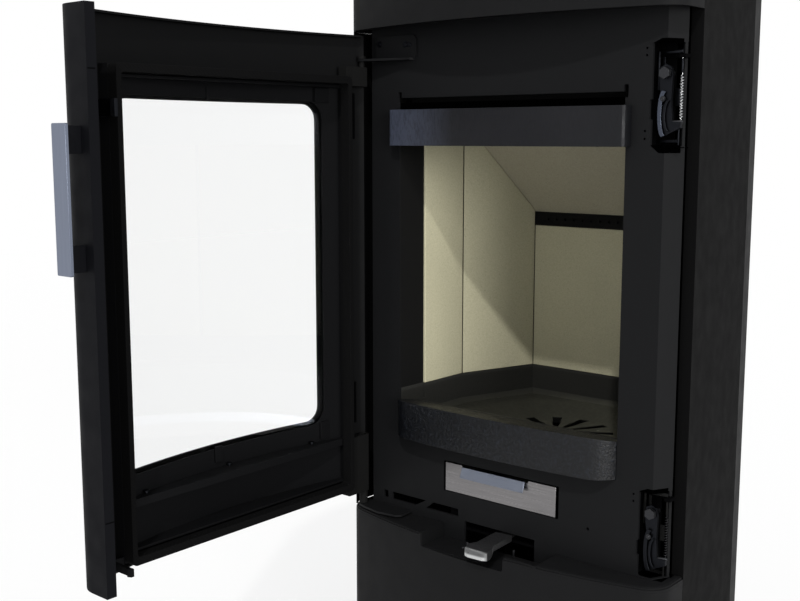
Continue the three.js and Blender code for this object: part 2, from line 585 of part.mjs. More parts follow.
// everything above the sloping underside of the baffle
const aboveBaffle = prismX([[BACK_Y + 60, slopeZ(BACK_Y + 60) - GAP * 2], [0, slopeZ(0) - GAP * 2], [0, FAR],
  [BACK_Y + 60, FAR]], [-WIDTH, WIDTH]);
const brickBand = (z) => prismZ(fireboxPlan(LINING_T, LINING_Y[0]), z).subtract(
  prismZ(fireboxPlan(0, LINING_Y[0] - 5), [z[0] - 1, z[1] + 1]));
const BRICK_GAP = 0.3;
for (const [side, s] of [['left', -1], ['right', 1]]) {
  const half = (ys) => block(s > 0 ? [1, WIDTH] : [-WIDTH, -1], ys, [LINING_Z[0] - 5, LINING_Z[1] + 5]);
  const front = brickBand(LINING_Z).intersect(half([LINING_Y[0] - 1, LINING_Y[1]]));
  const rear = brickBand(LINING_Z).intersect(half([LINING_Y[1] + BRICK_GAP, BACK_Y - BRICK_GAP]));
  place(`lining_front_${side}`, front.subtract(aboveBaffle), VERMICULITE());
  place(`lining_rear_${side}`, rear.subtract(aboveBaffle), VERMICULITE());
}
const rearBand = (depth) => prismZ(fireboxPlan(LINING_T, LINING_Y[0]), [0, TOP_Z]).intersect(
  block([-WIDTH, WIDTH], [BACK_Y, BACK_Y + depth], [0, TOP_Z]));
const between = (zs) => block([-WIDTH, WIDTH], [0, FAR], zs);
place('lining_back', rearBand(LINING_T).intersect(between([LINING_Z[0], STRIP_Z[0] - GAP])), VERMICULITE());

function airStrip() {
  const bar = rearBand(LINING_T).intersect(between(STRIP_Z));
  const inside = block([-BACK_HALF + 6, BACK_HALF - 6], [BACK_Y + 2, BACK_Y + LINING_T + 5],
    [STRIP_Z[0] + 2, STRIP_Z[1] - 2]);
  const holes = [];
  for (let i = -7; i <= 7; i += 1) {
    const z = (STRIP_Z[0] + STRIP_Z[1]) / 2;
    holes.push(pinY(STRIP_HOLE_R, [BACK_Y - 2, BACK_Y + 4], i * STRIP_PITCH, z, 8));
  }
  return carve(bar, [inside, ...holes]);
}
place('secondary_air_strip', airStrip(), DARK_STEEL());

function baffle() {
  const t = BAFFLE_T;
  const n = [SLOPE / Math.hypot(1, SLOPE), 1 / Math.hypot(1, SLOPE)];
  const lowY = BACK_Y + 2;
  const rearY = BACK_Y + LINING_T - 1;
  const section = [[lowY, STRIP_Z[1] + GAP], [rearY, STRIP_Z[1] + GAP], [rearY, slopeZ(rearY) + 40],
    [BAFFLE_HEAD[0] + n[0] * t, BAFFLE_HEAD[1] + n[1] * t], BAFFLE_HEAD, [lowY, slopeZ(lowY)]];
  return prismX(section, [-WIDTH, WIDTH]).intersect(prismZ(fireboxPlan(LINING_T - 1, 0), [0, TOP_Z]));
}
place('baffle', baffle(), VERMICULITE());

const deflectorZ = [DEFLECTOR_Z, DEFLECTOR_Z + DEFLECTOR_T];
const deflector = prismZ(fireboxPlan(LINING_T - 0.5, DEFLECTOR_Y), deflectorZ);
const ledge = block([-LINING_HALF - LINING_T + 1, LINING_HALF + LINING_T - 1],
  [DEFLECTOR_Y, DEFLECTOR_Y + DEFLECTOR_T], [DEFLECTOR_Z - 20, DEFLECTOR_Z + 1]);
place('smoke_deflector', deflector.add(ledge), DARK_STEEL());

// ---------------------------------------------------------------- cast bottom, lip and ash parts
// a plan outline raised in Z with a chamfer round both ends
function chamferedPrism(points, [z0, z1], c) {
  const g = new THREE.ExtrudeGeometry(shapeOf(points), {
    depth: z1 - z0 - 2 * c,
    bevelEnabled: true,
    bevelThickness: c,
    bevelSize: c,
    bevelOffset: -c,
    bevelSegments: 1,
  });
  return toSolid(g.translate(0, 0, z0 + c));
}

function fireBowl() {
  const y0 = LIP_Y[1] + GAP;
  const top = LINING_Z[0] - GAP;
  const low = GRATE_Z - GRATE_T;
  const under = BOWL_FLOOR_Z - BOWL_T;
  const tub = prismZ(fireboxPlan(BOWL_WALL_T, y0), [under, top]);
  const rim = prismZ(fireboxPlan(LINING_T - 0.5, y0), [top - BOWL_WALL_T, top]);
  const cup = turned([[0, low], [GRATE_R + GRATE_T, low], [DISH_R + GRATE_T, under + 1], [0, under + 1]], 48);
  const room = chamferedPrism(fireboxPlan(-0.5, y0 + BOWL_WALL_T), [BOWL_FLOOR_Z, top + 20], BOWL_CHAMFER);
  const brim = BOWL_FLOOR_Z + 0.1;
  const dish = turned([[0, GRATE_Z], [GRATE_R, GRATE_Z], [DISH_R, brim], [0, brim]], 48);
  const slots = [];
  for (let i = 0; i < GRATE_SLOTS; i += 1) {
    const [r0, r1] = GRATE_SLOT_R;
    const [w0, w1] = GRATE_SLOT_W;
    const slot = prismZ([[r0, -w0 / 2], [r1, -w1 / 2], [r1, w1 / 2], [r0, w0 / 2]], [low - 2, GRATE_Z + 2]);
    slots.push(slot.rotate([0, 0, (360 * i) / GRATE_SLOTS]).translate([0, GRATE_Y, 0]));
  }
  const frontDip = block([-WIDTH, WIDTH], [0, LINING_Y[0] - 1], [LIP_Z[1] - LIP_FALL, FAR]);
  const onGrate = (solid) => solid.translate([0, GRATE_Y, 0]);
  return carve(unite([tub, rim, onGrate(cup)]), [room, onGrate(dish), ...slots, frontDip]);
}
place('fire_bowl', fireBowl(), CAST());

// bowed plan with rounded ends, run back into the fire opening
function lipPlan(inset, endY) {
  const half = [];
  const cornerX = LIP_HALF - LIP_CORNER_R;
  const bowY = (x) => LIP_Y[0] + inset + x ** 2 / (2 * LIP_BOW_R);
  for (let i = 0; i <= 6; i += 1) half.push([(cornerX * i) / 6, bowY((cornerX * i) / 6)]);
  const r = LIP_CORNER_R - inset;
  for (let i = 1; i <= 7; i += 1) {
    const a = rad(-90 + 10 * i);
    half.push([cornerX + r * Math.cos(a), bowY(cornerX) + r + r * Math.sin(a)]);
  }
  const sideX = FIRE_HALF - 0.5 - inset;
  const front = half.filter(([x, y]) => y < -GAP || x < sideX);
  const right = [...front, [sideX, Math.max(-GAP, front.at(-1)[1] + 0.5)], [sideX, endY]];
  return [...mirrored(right).reverse(), ...right.slice(1)];
}

function ashLip() {
  const [y0, y1] = LIP_Y;
  const [z0, z1] = LIP_Z;
  const body = prismZ(lipPlan(0, y1), LIP_Z);
  const side = [-WIDTH, WIDTH];
  const roof = z1 - LIP_T;
  const underside = prismX([[y0 - 1, z0 - 5], [y1 + 5, z0 - 5], [y1 + 5, roof - LIP_FALL],
    [y0 + 12, roof - 2], [y0 - 1, roof - 2]], side);
  const hollow = prismZ(lipPlan(LIP_T, y1 + 3), [z0 - 5, z1]).intersect(underside);
  const fall = prismX([[y0 + 7, z1 + 0.1], [y1 + 5, z1 - LIP_FALL], [y1 + 5, z1 + 5], [y0 + 7, z1 + 5]],
    side);
  return carve(body, [hollow, fall]);
}
place('ash_lip', ashLip(), CAST());

const DRAWER_BODY_HALF = DRAWER_HALF - DRAWER_SIDE;
const CHAMBER_HALF = DRAWER_BODY_HALF + CHAMBER_SIDE;
const RAIL_X = DRAWER_BODY_HALF - RAIL_SET;
const CHAMBER_Z = [SHELL_Z[0] + SHELL_T + GAP, GRATE_Z - GRATE_T - GAP];
const DRAWER_BODY_Z = [DRAWER_Z[0] + 2, DRAWER_Z[1] - 6];
function ashChamber() {
  const y0 = SHELL_Y0 + 0.3;
  const y1 = y0 + DRAWER_DEPTH + 12;
  const outer = block([-CHAMBER_HALF, CHAMBER_HALF], [y0, y1], CHAMBER_Z);
  const inner = block([-CHAMBER_HALF + CHAMBER_T, CHAMBER_HALF - CHAMBER_T], [y0 - 2, y1 - CHAMBER_T],
    [CHAMBER_Z[0] + CHAMBER_T, CHAMBER_Z[1] + 2]);
  const air = block(...AIR_INLET, [CHAMBER_Z[0] - 1, CHAMBER_Z[0] + CHAMBER_T + 1]);
  // rails that the drawer slides on
  const rails = [-1, 1].map((side) => block([side * RAIL_X - RAIL_W / 2, side * RAIL_X + RAIL_W / 2],
    [y0 + 4, y1 - 12], [CHAMBER_Z[0] + 1, DRAWER_BODY_Z[0] - GAP]));
  return unite([carve(outer, [inner, air]), ...rails]);
}
place('ash_chamber', ashChamber(), DARK_STEEL());

function ashDrawer() {
  const y0 = 0.3;
  const z = DRAWER_BODY_Z;
  const outer = block([-DRAWER_BODY_HALF, DRAWER_BODY_HALF], [y0, DRAWER_DEPTH], z);
  const t = DRAWER_T;
  return outer.subtract(block([-DRAWER_BODY_HALF + t, DRAWER_BODY_HALF - t], [y0 + t, DRAWER_DEPTH - t],
    [z[0] + t, z[1] + 2]));
}
place('ash_drawer', ashDrawer(), STAINLESS());

function drawerFront() {
  const t = DRAWER_FACE_T;
  const zs = DRAWER_Z;
  const face = block([-DRAWER_HALF, DRAWER_HALF], [-t, 0], zs);
  const window = prismY(roundRect([-44, 44], [zs[1] - 21, zs[1] - 8], 3, 3), [-t - 1, 1]);
  const bend = [[-t, -22], [-t - 13, -17], [-t - 14, -14.5], [-t - 13.2, -14], [-t - 12, -16],
    [-t + 0.6, -20.6]];
  const tongue = prismX(bend.map(([y, z]) => [y, zs[1] + z]), [-42, 42]);
  return face.subtract(window).add(tongue);
}
place('ash_drawer_front', drawerFront(), STAINLESS());

// ---------------------------------------------------------------- primary air
const AIRBOX_Z = [LEVER_Z - 9, SHELL_Z[0] - GAP];
const PORT_Z = [LEVER_Z + LEVER_T / 2 + GAP, LEVER_Z + LEVER_T / 2 + 3.3];
// two quarter-ring ports that the disc's own pair covers or clears
function portPair(z) {
  const [r0, r1] = DAMPER_PORT_R;
  const sector = (from) => {
    const points = [];
    const at = (r, i) => [r * Math.cos(rad(from + i * 8)), r * Math.sin(rad(from + i * 8))];
    for (let i = 0; i <= 6; i += 1) points.push(at(r1, i));
    for (let i = 6; i >= 0; i -= 1) points.push(at(r0, i));
    return prismZ(points, z);
  };
  return sector(-24).add(sector(156));
}

function airBox() {
  const t = AIRBOX_T;
  const y = [SHELL_Y0, LEVER_PIVOT_Y + DAMPER_R + 12];
  const outer = block([-AIRBOX_HALF, AIRBOX_HALF], y, AIRBOX_Z);
  const within = [-AIRBOX_HALF + t, AIRBOX_HALF - t];
  const lowRoom = block(within, [y[0] - 2, y[1] - t], [AIRBOX_Z[0] + t, PORT_Z[0]]);
  const highRoom = block(within, [y[0] + t, y[1] - t], [PORT_Z[1], AIRBOX_Z[1] + 2]);
  const ports = portPair([PORT_Z[0] - 1, PORT_Z[1] + 1]).translate([0, LEVER_PIVOT_Y, 0]);
  const stud = rod(PIN_R, [AIRBOX_Z[0] + 1, PORT_Z[0] + 1], 20).translate([0, LEVER_PIVOT_Y, 0]);
  return carve(outer, [lowRoom, highRoom, ports]).add(stud);
}
place('air_box', airBox(), DARK_STEEL());

// lever pieces are drawn pointing straight out of the front and then turned about the pin
const swung = (solid) => solid.rotate([0, 0, LEVER_REST]).translate([0, LEVER_PIVOT_Y, 0]);
function airLever() {
  const z = [LEVER_Z - LEVER_T / 2, LEVER_Z + LEVER_T / 2];
  const arm = block([-LEVER_W / 2, LEVER_W / 2], [-LEVER_REACH, 0], z);
  const disc = rod(DAMPER_R, z, 40);
  const through = [z[0] - 1, z[1] + 1];
  return swung(carve(arm.add(disc), [portPair(through), rod(PIN_R + PIN_CLEAR, through, 20)]));
}
place('air_lever', airLever(), DARK_STEEL());

function leverGrip() {
  const [near, far] = GRIP_REACH;
  const t = GRIP_T / 2;
  const [w0, w1] = GRIP_W.map((w) => w / 2);
  const half = [[w1 - 7, -far], [w1 - 1, -far + 3], [w1, -far + 14], [w0, -far + 26], [w0, -near]];
  const plan = [...half, ...mirrored(half).reverse()];
  const z = LEVER_Z;
  const side = prismX([[-near + 1, z - t], [-near + 1, z + t], [-far + 12, z + t], [-far + 4, z + t - 2],
    [-far - 1, z + t - 7], [-far - 1, z - GRIP_DROP], [-far + 9, z - GRIP_DROP], [-far + 16, z - t]],
  [-w1 - 1, w1 + 1]);
  const socket = block([-LEVER_W / 2 - GAP, LEVER_W / 2 + GAP], [-LEVER_REACH - GAP, -near + 5],
    [z - LEVER_T / 2 - GAP, z + LEVER_T / 2 + GAP]);
  return swung(prismZ(plan, [z - GRIP_DROP - 1, z + t + 1]).intersect(side).subtract(socket));
}
place('air_lever_grip', leverGrip(), CHROME());

// ---------------------------------------------------------------- spring latches
function helixCurve(radius, z0, z1, turns) {
  const curve = new THREE.Curve();
  curve.getPoint = (t, target = new THREE.Vector3()) => {
    const a = 2 * Math.PI * turns * t;
    return target.set(radius * Math.cos(a), radius * Math.sin(a), z0 + (z1 - z0) * t);
  };
  return curve;
}

// least distance between stretches of the wire that lie over half a turn apart, less the wire
function leastGap(curve) {
  const points = curve.getPoints(SPRING_TURNS * 24);
  let least = Infinity;
  for (let i = 0; i < points.length; i += 1) {
    for (let j = i + 12; j < points.length; j += 1) least = Math.min(least, points[i].distanceTo(points[j]));
  }
  return least - 2 * WIRE_R;
}

function spring(z0, z1) {
  const curve = helixCurve(SPRING_R, z0, z1, SPRING_TURNS);
  const ring = [];
  for (let i = 0; i < 5; i += 1) {
    const a = (2 * Math.PI * i) / 5;
    ring.push([WIRE_R * Math.cos(a), WIRE_R * Math.sin(a)]);
  }
  const g = new THREE.ExtrudeGeometry(shapeOf(ring), { steps: SPRING_TURNS * 8, extrudePath: curve });
  console.log(`spring's least gap to itself ${leastGap(curve).toFixed(2)} mm`);
  return toSolid(g).translate([SPRING_X, SPRING_Y, 0]);
}

function latchParts(tabZ) {
  const pivotZ = tabZ + LATCH_DROP;
  const x = LATCH_PIVOT_X;
  const face = TAB_X[1] + CAM_CLEAR;
  const bulge = [];
  for (let i = 0; i <= 8; i += 1) {
    const a = Math.PI * (0.5 + i / 8);
    bulge.push([face + 7 + 7 * Math.cos(a), tabZ - 8 + 24 * Math.sin(a)]);
  }
  const outline = [[x + 8, pivotZ - 3], [x + 6, pivotZ + 7], [x, pivotZ + 10], [x - 7, pivotZ + 7],
    [x - 9, pivotZ - 2], [x - 7, tabZ + 22], ...bulge.slice(1), [SPRING_X - 8, tabZ - 26],
    [SPRING_X + 3, tabZ - 21], [SPRING_X + 3, tabZ - 14], [x + 9, tabZ - 14], [x + 7, tabZ + 10]];
  const cam = prismY(outline, CAM_Y)
    .subtract(pinY(PIN_R + PIN_CLEAR, [0, 30], x, pivotZ, 20))
    .subtract(pinY(2.5, [0, 30], x - 2, tabZ + 8, 12));
  const bolt = pinY(PIN_R, [3, 24], x, pivotZ, 20)
    .add(pinY(LATCH_HEAD_R, [2, CAM_Y[0] - GAP], x, pivotZ, 6));
  const peg = pinY(2, [CAM_Y[1] - 1, SPRING_Y + 2], SPRING_X - 1, tabZ - 17.5, 8);
  const zs = LATCH_PLATE_Z.map((z) => tabZ + z);
  const backY = LATCH_PLATE_Y;
  const [plateX0, plateX1] = LATCH_PLATE_X;
  const plate = block(LATCH_PLATE_X, [backY, backY + LATCH_PLATE_T], zs);
  const cheek = block([plateX0, plateX0 + LATCH_PLATE_T], [SHELL_Y0, backY + 1], zs);
  const hookZ = [tabZ + SPRING_Z[1] + 1, tabZ + SPRING_Z[1] + 5];
  const hook = block([plateX1 - 3, SPRING_X + 5], [backY - 3, backY + 1.2], hookZ)
    .add(block([SPRING_X - 3, SPRING_X + 5], [SPRING_Y - 2, backY], hookZ));
  const bracket = carve(unite([plate, cheek, hook]), [pinY(PIN_R + 0.2, [20, 40], x, pivotZ, 16)]);
  const coil = spring(tabZ + SPRING_Z[0], tabZ + SPRING_Z[1]);
  return { cam: cam.add(peg), bolt, bracket, coil };
}

for (const [level, tabZ] of [['upper', UPPER_TAB_Z], ['lower', LOWER_TAB_Z]]) {
  const parts = latchParts(tabZ);
  place(`latch_bracket_${level}`, parts.bracket, DARK_STEEL());
  place(`latch_cam_${level}`, parts.cam, metal(0x2c2d2f, 0.5, 0.7));
  place(`latch_pivot_${level}`, parts.bolt, STAINLESS());
  place(`latch_spring_${level}`, parts.coil, STAINLESS());
}

// ---------------------------------------------------------------- door hinges
const [HX, HY] = HINGE;
const KNUCKLE_END = -RING_HALF - RING_T - GAP; // where the knuckles meet the inner frame
function knuckle(z) {
  const r = KNUCKLE_R;
  const plan = [[HX - r, HY - 2.5], [HX - 4, HY - 5], [HX, HY - r], [KNUCKLE_END, HY - 9],
    [KNUCKLE_END, HY + r], [HX - 4, HY + r], [HX - r, HY + 4]];
  const bore = rod(PIN_R + PIN_CLEAR, [z[0] - 1, z[1] + 1], 20).translate([HX, HY, 0]);
  return prismZ(plan, z).subtract(bore);
}
const hingeHole = (z) => rod(PIN_R + PIN_FIT, [z - 5, z + 10], 20).translate([HX, HY, 0]);

// upper hinge: a folded bracket over the knuckle, the pin hanging from it
const upperZ = UPPER_HINGE_Z;
const plateX = HX + 13;
const plateEnd = plateX + HINGE_PLATE_W;
const plateZ = [upperZ, upperZ + HINGE_PLATE_H];
const upperPlate = prismY(roundRect([plateX, plateEnd], plateZ, 7, 4), [-HINGE_T - GAP, -GAP]);
const armEnd = [[HX - 4, HY + 4.5], [HX - 5.8, HY + 1.5], [HX - 5.5, HY - 2.5], [HX - 3.5, HY - 5],
  [HX, HY - KNUCKLE_R], [HX + 4, HY - KNUCKLE_R]];
const upperArm = prismZ([...armEnd, [plateEnd - 7, -8], [plateEnd - 3, -GAP], [plateX - 2, -GAP],
  [HX + 1, HY + 7.5]], [upperZ, upperZ + HINGE_T]);
const hingeSteel = () => metal(0x6d7076, 0.4, 0.8);
place('hinge_bracket_upper', upperPlate.add(upperArm).subtract(hingeHole(upperZ)), hingeSteel());
const pinHead = rod(6, [upperZ + HINGE_T + GAP, upperZ + HINGE_T + 4], 16);
const upperPin = rod(PIN_R, [UPPER_KNUCKLE_Z[0] + 2, upperZ + HINGE_T + 1], 20);
place('hinge_pin_upper', pinHead.add(upperPin).translate([HX, HY, 0]), STAINLESS());
onDoor('door_knuckle_upper', knuckle(UPPER_KNUCKLE_Z), DARK_STEEL());

// lower hinge: a flat tab over the lower cover, the door's weight on the collar of its pin
const lowerZ = LOWER_HINGE_Z;
const lowerTab = prismZ([[HX + 76, -GAP], [HX + 78, -25], [HX + 72, -31.5], [HX + 41, -35.5], [HX + 13, -30],
  [HX - 3, HY - 7], [HX - 8, HY + 1], [HX - 8, -5], [HX + 3, -GAP]], [lowerZ, lowerZ + HINGE_T]);
place('hinge_bracket_lower', lowerTab.subtract(hingeHole(lowerZ)), DARK_STEEL());
const pinCollar = rod(6, [lowerZ + HINGE_T + GAP, LOWER_KNUCKLE_Z[0] - GAP], 16);
const lowerPin = rod(PIN_R, [lowerZ, LOWER_KNUCKLE_Z[1] - 20], 20);
place('hinge_pin_lower', pinCollar.add(lowerPin).translate([HX, HY, 0]), STAINLESS());
onDoor('door_knuckle_lower', knuckle(LOWER_KNUCKLE_Z), DARK_STEEL());

// ---------------------------------------------------------------- door
const grown = ([low, high], by) => [low - by, high + by];
const windowCut = (grow, r) =>
  prismY(roundRect(grown(WINDOW_X, grow), grown(WINDOW_Z, grow), r, 6), [2 * FRONT_Y, 0]);

function doorStrip(outer, inner, leftDeg, endY) {
  const left = (inset) => mirrored(halfFront(inset, null, leftDeg)).reverse();
  const right = (inset) => halfFront(inset, endY).slice(1);
  return [...left(outer), ...right(outer), ...right(inner).reverse(), ...left(inner).reverse()];
}

function doorSkin() {
  const t = SKIN_T;
  const sheet = prismZ(doorStrip(0, t, SKIN_LEFT_DEG, SKIN_END_Y), DOOR_Z);
  const curl = block([WIDTH / 2 - SKIN_CURL, WIDTH / 2 - 1], [SKIN_END_Y - t, SKIN_END_Y], DOOR_Z);
  const fold = doorStrip(t - 0.5, t + SKIN_RAIL, 10, CORNER_Y);
  const rail = prismZ(fold, [DOOR_Z[1] - t, DOOR_Z[1]]);
  // the sill stops short of the lower hinge
  const sill = prismZ(fold, [DOOR_Z[0], DOOR_Z[0] + t])
    .intersect(block([4 - RING_HALF, WIDTH / 2], [FRONT_Y - 1, SIDE_Y], [DOOR_Z[0] - 1, DOOR_Z[1]]));
  return unite([sheet, curl, rail, sill]).subtract(windowCut(0, WINDOW_R));
}
onDoor('door_skin', doorSkin(), BLACK_PAINT());

function doorGlass() {
  const a = SKIN_T + GLASS_SEAT;
  const sheet = prismZ([...fullFront(a, TUCK_Y), ...fullFront(a + GLASS_T, TUCK_Y).reverse()], [0, TOP_Z]);
  return sheet.intersect(windowCut(GLASS_LAP, 6));
}
const glass = new THREE.MeshStandardMaterial({
  color: 0xdfe6e6,
  roughness: 0.05,
  transparent: true,
  opacity: 0.25,
});
onDoor('door_glass', doorGlass(), glass);

function doorFrame() {
  const t = RING_T;
  const back = RING_BACK_Y;
  const front = prismZ([...fullFront(SKIN_T + GAP, TUCK_Y), [WIDTH, 60], [-WIDTH, 60]], [0, TOP_Z]);
  const outer = block([-RING_HALF - t, RING_HALF + t], [2 * FRONT_Y, back], RING_Z);
  const inner = block([-RING_HALF, RING_HALF], [3 * FRONT_Y, back + 5], [RING_Z[0] + t, RING_Z[1] - t]);
  const channel = [[RING_Z[0] + CHANNEL_WALL[0], RING_Z[0] + CHANNEL_WALL[1]],
    [RING_Z[1] - CHANNEL_WALL[1], RING_Z[1] - CHANNEL_WALL[0]]]
    .map((zs) => block([-RING_HALF - 1, RING_HALF + 1], [2 * FRONT_Y, back], zs));
  const ring = unite([outer.subtract(inner), ...channel]);
  const webIn = SKIN_T + GLASS_SEAT + GLASS_T + 1.5;
  const webPlan = [...fullFront(webIn, TUCK_Y), ...fullFront(webIn + t, TUCK_Y).reverse()];
  const webBand = prismZ(webPlan, [RING_Z[0] + 1, RING_Z[1] - 1])
    .intersect(block([-RING_HALF - 1, RING_HALF + 1], [2 * FRONT_Y, 0], [0, TOP_Z]));
  const web = webBand.subtract(windowCut(4, WINDOW_R + 3));
  return ring.intersect(front).add(web);
}
onDoor('door_inner_frame', doorFrame(), DARK_STEEL());

function doorShelf() {
  const reach = SKIN_T + GLASS_T + 6;
  const across = [-RING_HALF + GAP, RING_HALF - GAP];
  const plate = prismZ(fullFront(reach, TUCK_Y), [SHELF_Z, SHELF_Z + SHELF_T]).intersect(
    block(across, [2 * FRONT_Y, SHELF_BACK_Y], [SHELF_Z - 5, SHELF_Z + 30]));
  const lip = block(across, [SHELF_BACK_Y - 2.5, SHELF_BACK_Y], [SHELF_Z - 7, SHELF_Z + SHELF_T]);
  return plate.add(lip);
}
onDoor('door_shelf', doorShelf(), DARK_STEEL());

function doorSeal() {
  const y = [RING_BACK_Y + GAP, -0.8];
  const o = RING_HALF + RING_T;
  const i = o - SEAL_W;
  const ring = prismY(roundRect([-o, o], RING_Z, 6, 4), y);
  const hole = prismY(roundRect([-i, i], grown(RING_Z, -SEAL_H), 4, 4), [2 * RING_BACK_Y, 5]);
  return ring.subtract(hole);
}
onDoor('door_seal', doorSeal(), metal(0x202020, 0.95, 0));

for (const [level, z, h] of [['upper', UPPER_TAB_Z, TAB_H], ['lower', LOWER_TAB_Z, LOWER_TAB_H]]) {
  const zs = [z - h / 2, z + h / 2];
  const [x0, x1] = TAB_X;
  const root = RING_BACK_Y - 3;
  const foot = block([RING_HALF + RING_T + GAP, x1], [root - 2, root + 2], zs);
  const barb = [[x1, CAM_Y[1] + 1], [x1 + 2.5, CAM_Y[1] + 3], [x1, CAM_Y[1] + 8]];
  const tongue = prismZ([[x0, root], [x1, root], ...barb, [x0, CAM_Y[1] + 8]], zs);
  onDoor(`latch_tab_${level}`, foot.add(tongue), STAINLESS());
}

const handleX = [WIDTH / 2 + HANDLE_STANDOFF, WIDTH / 2 + HANDLE_STANDOFF + HANDLE_T];
const handleY = [SKIN_END_Y - HANDLE_SET - HANDLE_W, SKIN_END_Y - HANDLE_SET];
const handleBar = prismX(roundRect(handleY, HANDLE_Z, 1.5, 2), handleX);
onDoor('door_handle', handleBar, STAINLESS());
for (const [level, z] of [['upper', HANDLE_Z[1] - MOUNT_INSET], ['lower', HANDLE_Z[0] + MOUNT_INSET]]) {
  const y = (handleY[0] + handleY[1]) / 2;
  const stem = block([WIDTH / 2 + GAP, handleX[0] - GAP], [y - MOUNT_T / 2, y + MOUNT_T / 2],
    [z - MOUNT_H / 2, z + MOUNT_H / 2]);
  onDoor(`handle_mount_${level}`, stem, DARK_STEEL());
}

export default stove;
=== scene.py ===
import math

import bmesh
import bpy
from mathutils import Matrix, Vector


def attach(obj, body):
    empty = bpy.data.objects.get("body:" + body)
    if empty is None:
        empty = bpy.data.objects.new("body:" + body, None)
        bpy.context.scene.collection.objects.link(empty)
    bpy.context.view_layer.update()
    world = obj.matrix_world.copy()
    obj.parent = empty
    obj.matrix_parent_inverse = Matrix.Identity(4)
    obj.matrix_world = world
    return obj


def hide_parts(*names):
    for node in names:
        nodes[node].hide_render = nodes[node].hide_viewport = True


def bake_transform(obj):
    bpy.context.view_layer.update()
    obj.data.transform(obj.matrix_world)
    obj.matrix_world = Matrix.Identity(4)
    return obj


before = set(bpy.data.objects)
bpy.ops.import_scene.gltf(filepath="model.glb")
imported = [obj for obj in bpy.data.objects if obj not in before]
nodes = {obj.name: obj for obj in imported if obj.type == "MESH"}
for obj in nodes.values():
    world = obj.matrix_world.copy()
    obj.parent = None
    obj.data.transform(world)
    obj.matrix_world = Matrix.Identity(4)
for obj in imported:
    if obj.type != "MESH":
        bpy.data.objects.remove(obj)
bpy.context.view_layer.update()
MM = 0.001
scene = bpy.context.scene


# ---------------------------------------------------------------- material helpers
class Shader:
    """A node material built from small procedural layers, in object coordinates."""

    def __init__(self, name, base, rough, metallic=0.0, specular=0.5):
        self.mat = bpy.data.materials.new(name)
        self.mat.use_nodes = True
        self.tree = self.mat.node_tree
        self.bsdf = self.tree.nodes["Principled BSDF"]
        self.base = base
        self.rough = rough
        self.bsdf.inputs["Metallic"].default_value = metallic
        self.bsdf.inputs["Specular IOR Level"].default_value = specular
        self.bsdf.inputs["Base Color"].default_value = (*base, 1)
        self.bsdf.inputs["Roughness"].default_value = rough
        self.coord = self.new("ShaderNodeTexCoord")
        self.height = None
        self.colour = None

    def new(self, kind, **props):
        node = self.tree.nodes.new(kind)
        for key, value in props.items():
            setattr(node, key, value)
        return node

    def link(self, a, b):
        self.tree.links.new(a, b)

    def place(self, stretch=(1, 1, 1)):
        mapping = self.new("ShaderNodeMapping")
        mapping.inputs["Scale"].default_value = stretch
        self.link(self.coord.outputs["Object"], mapping.inputs["Vector"])
        return mapping.outputs["Vector"]

    def noise(self, size_mm, detail=2.0, stretch=(1, 1, 1), rough=0.5):
        """Noise whose features are about size_mm across, from 0 to 1."""
        node = self.new("ShaderNodeTexNoise")
        self.link(self.place(stretch), node.inputs["Vector"])
        node.inputs["Scale"].default_value = 1 / (size_mm * MM)
        node.inputs["Detail"].default_value = detail
        node.inputs["Roughness"].default_value = rough
        return node.outputs["Fac"]

    def cells(self, size_mm, stretch=(1, 1, 1), feature="F1"):
        node = self.new("ShaderNodeTexVoronoi", feature=feature)
        self.link(self.place(stretch), node.inputs["Vector"])
        node.inputs["Scale"].default_value = 1 / (size_mm * MM)
        return node

    def levels(self, value, low, high, to_low=0.0, to_high=1.0):
        node = self.new("ShaderNodeMapRange")
        self.link(value, node.inputs["Value"])
        for key, number in zip(("From Min", "From Max", "To Min", "To Max"), (low, high, to_low, to_high)):
            node.inputs[key].default_value = number
        return node.outputs["Result"]

    def axis(self, name):
        split = self.new("ShaderNodeSeparateXYZ")
        self.link(self.coord.outputs["Object"], split.inputs["Vector"])
        return split.outputs[name]

    def tint(self, factor, colour, blend="MIX"):
        """Lays a colour over what is there, by a 0 to 1 factor."""
        mix = self.new("ShaderNodeMix", data_type="RGBA", blend_type=blend)
        self.link(factor, mix.inputs["Factor"])
        if self.colour is None:
            mix.inputs["A"].default_value = (*self.base, 1)
        else:
            self.link(self.colour, mix.inputs["A"])
        mix.inputs["B"].default_value = (*colour, 1)
        self.colour = mix.outputs["Result"]
        self.link(self.colour, self.bsdf.inputs["Base Color"])

    def vary_roughness(self, factor, low, high):
        self.link(self.levels(factor, 0.3, 0.7, low, high), self.bsdf.inputs["Roughness"])

    def bump(self, height, depth_mm, strength=1.0):
        node = self.new("ShaderNodeBump")
        node.inputs["Strength"].default_value = strength
        node.inputs["Distance"].default_value = depth_mm * MM
        self.link(height, node.inputs["Height"])
        if self.height is not None:
            self.link(self.height, node.inputs["Normal"])
        self.height = node.outputs["Normal"]
        self.link(self.height, self.bsdf.inputs["Normal"])


def paint(name, base, rough=0.6, grain=0.03, specular=0.08):
    """Heat-resistant stove paint: a fine sprayed grain with faint clouding."""
    s = Shader(name, base, rough, specular=specular)
    s.tint(s.levels(s.noise(210, 2), 0.35, 0.65, 0, 0.2), [c * 1.1 for c in base])
    s.tint(s.levels(s.noise(1.3, 3), 0.5, 0.75, 0, 0.3), [c * 0.72 for c in base])
    s.tint(s.levels(s.noise(0.8, 2), 0.66, 0.78, 0, 0.3), [c * 1.5 for c in base])
    s.vary_roughness(s.noise(24, 3), rough - 0.05, rough + 0.05)
    s.bump(s.noise(0.45, 2), grain)
    return s.mat


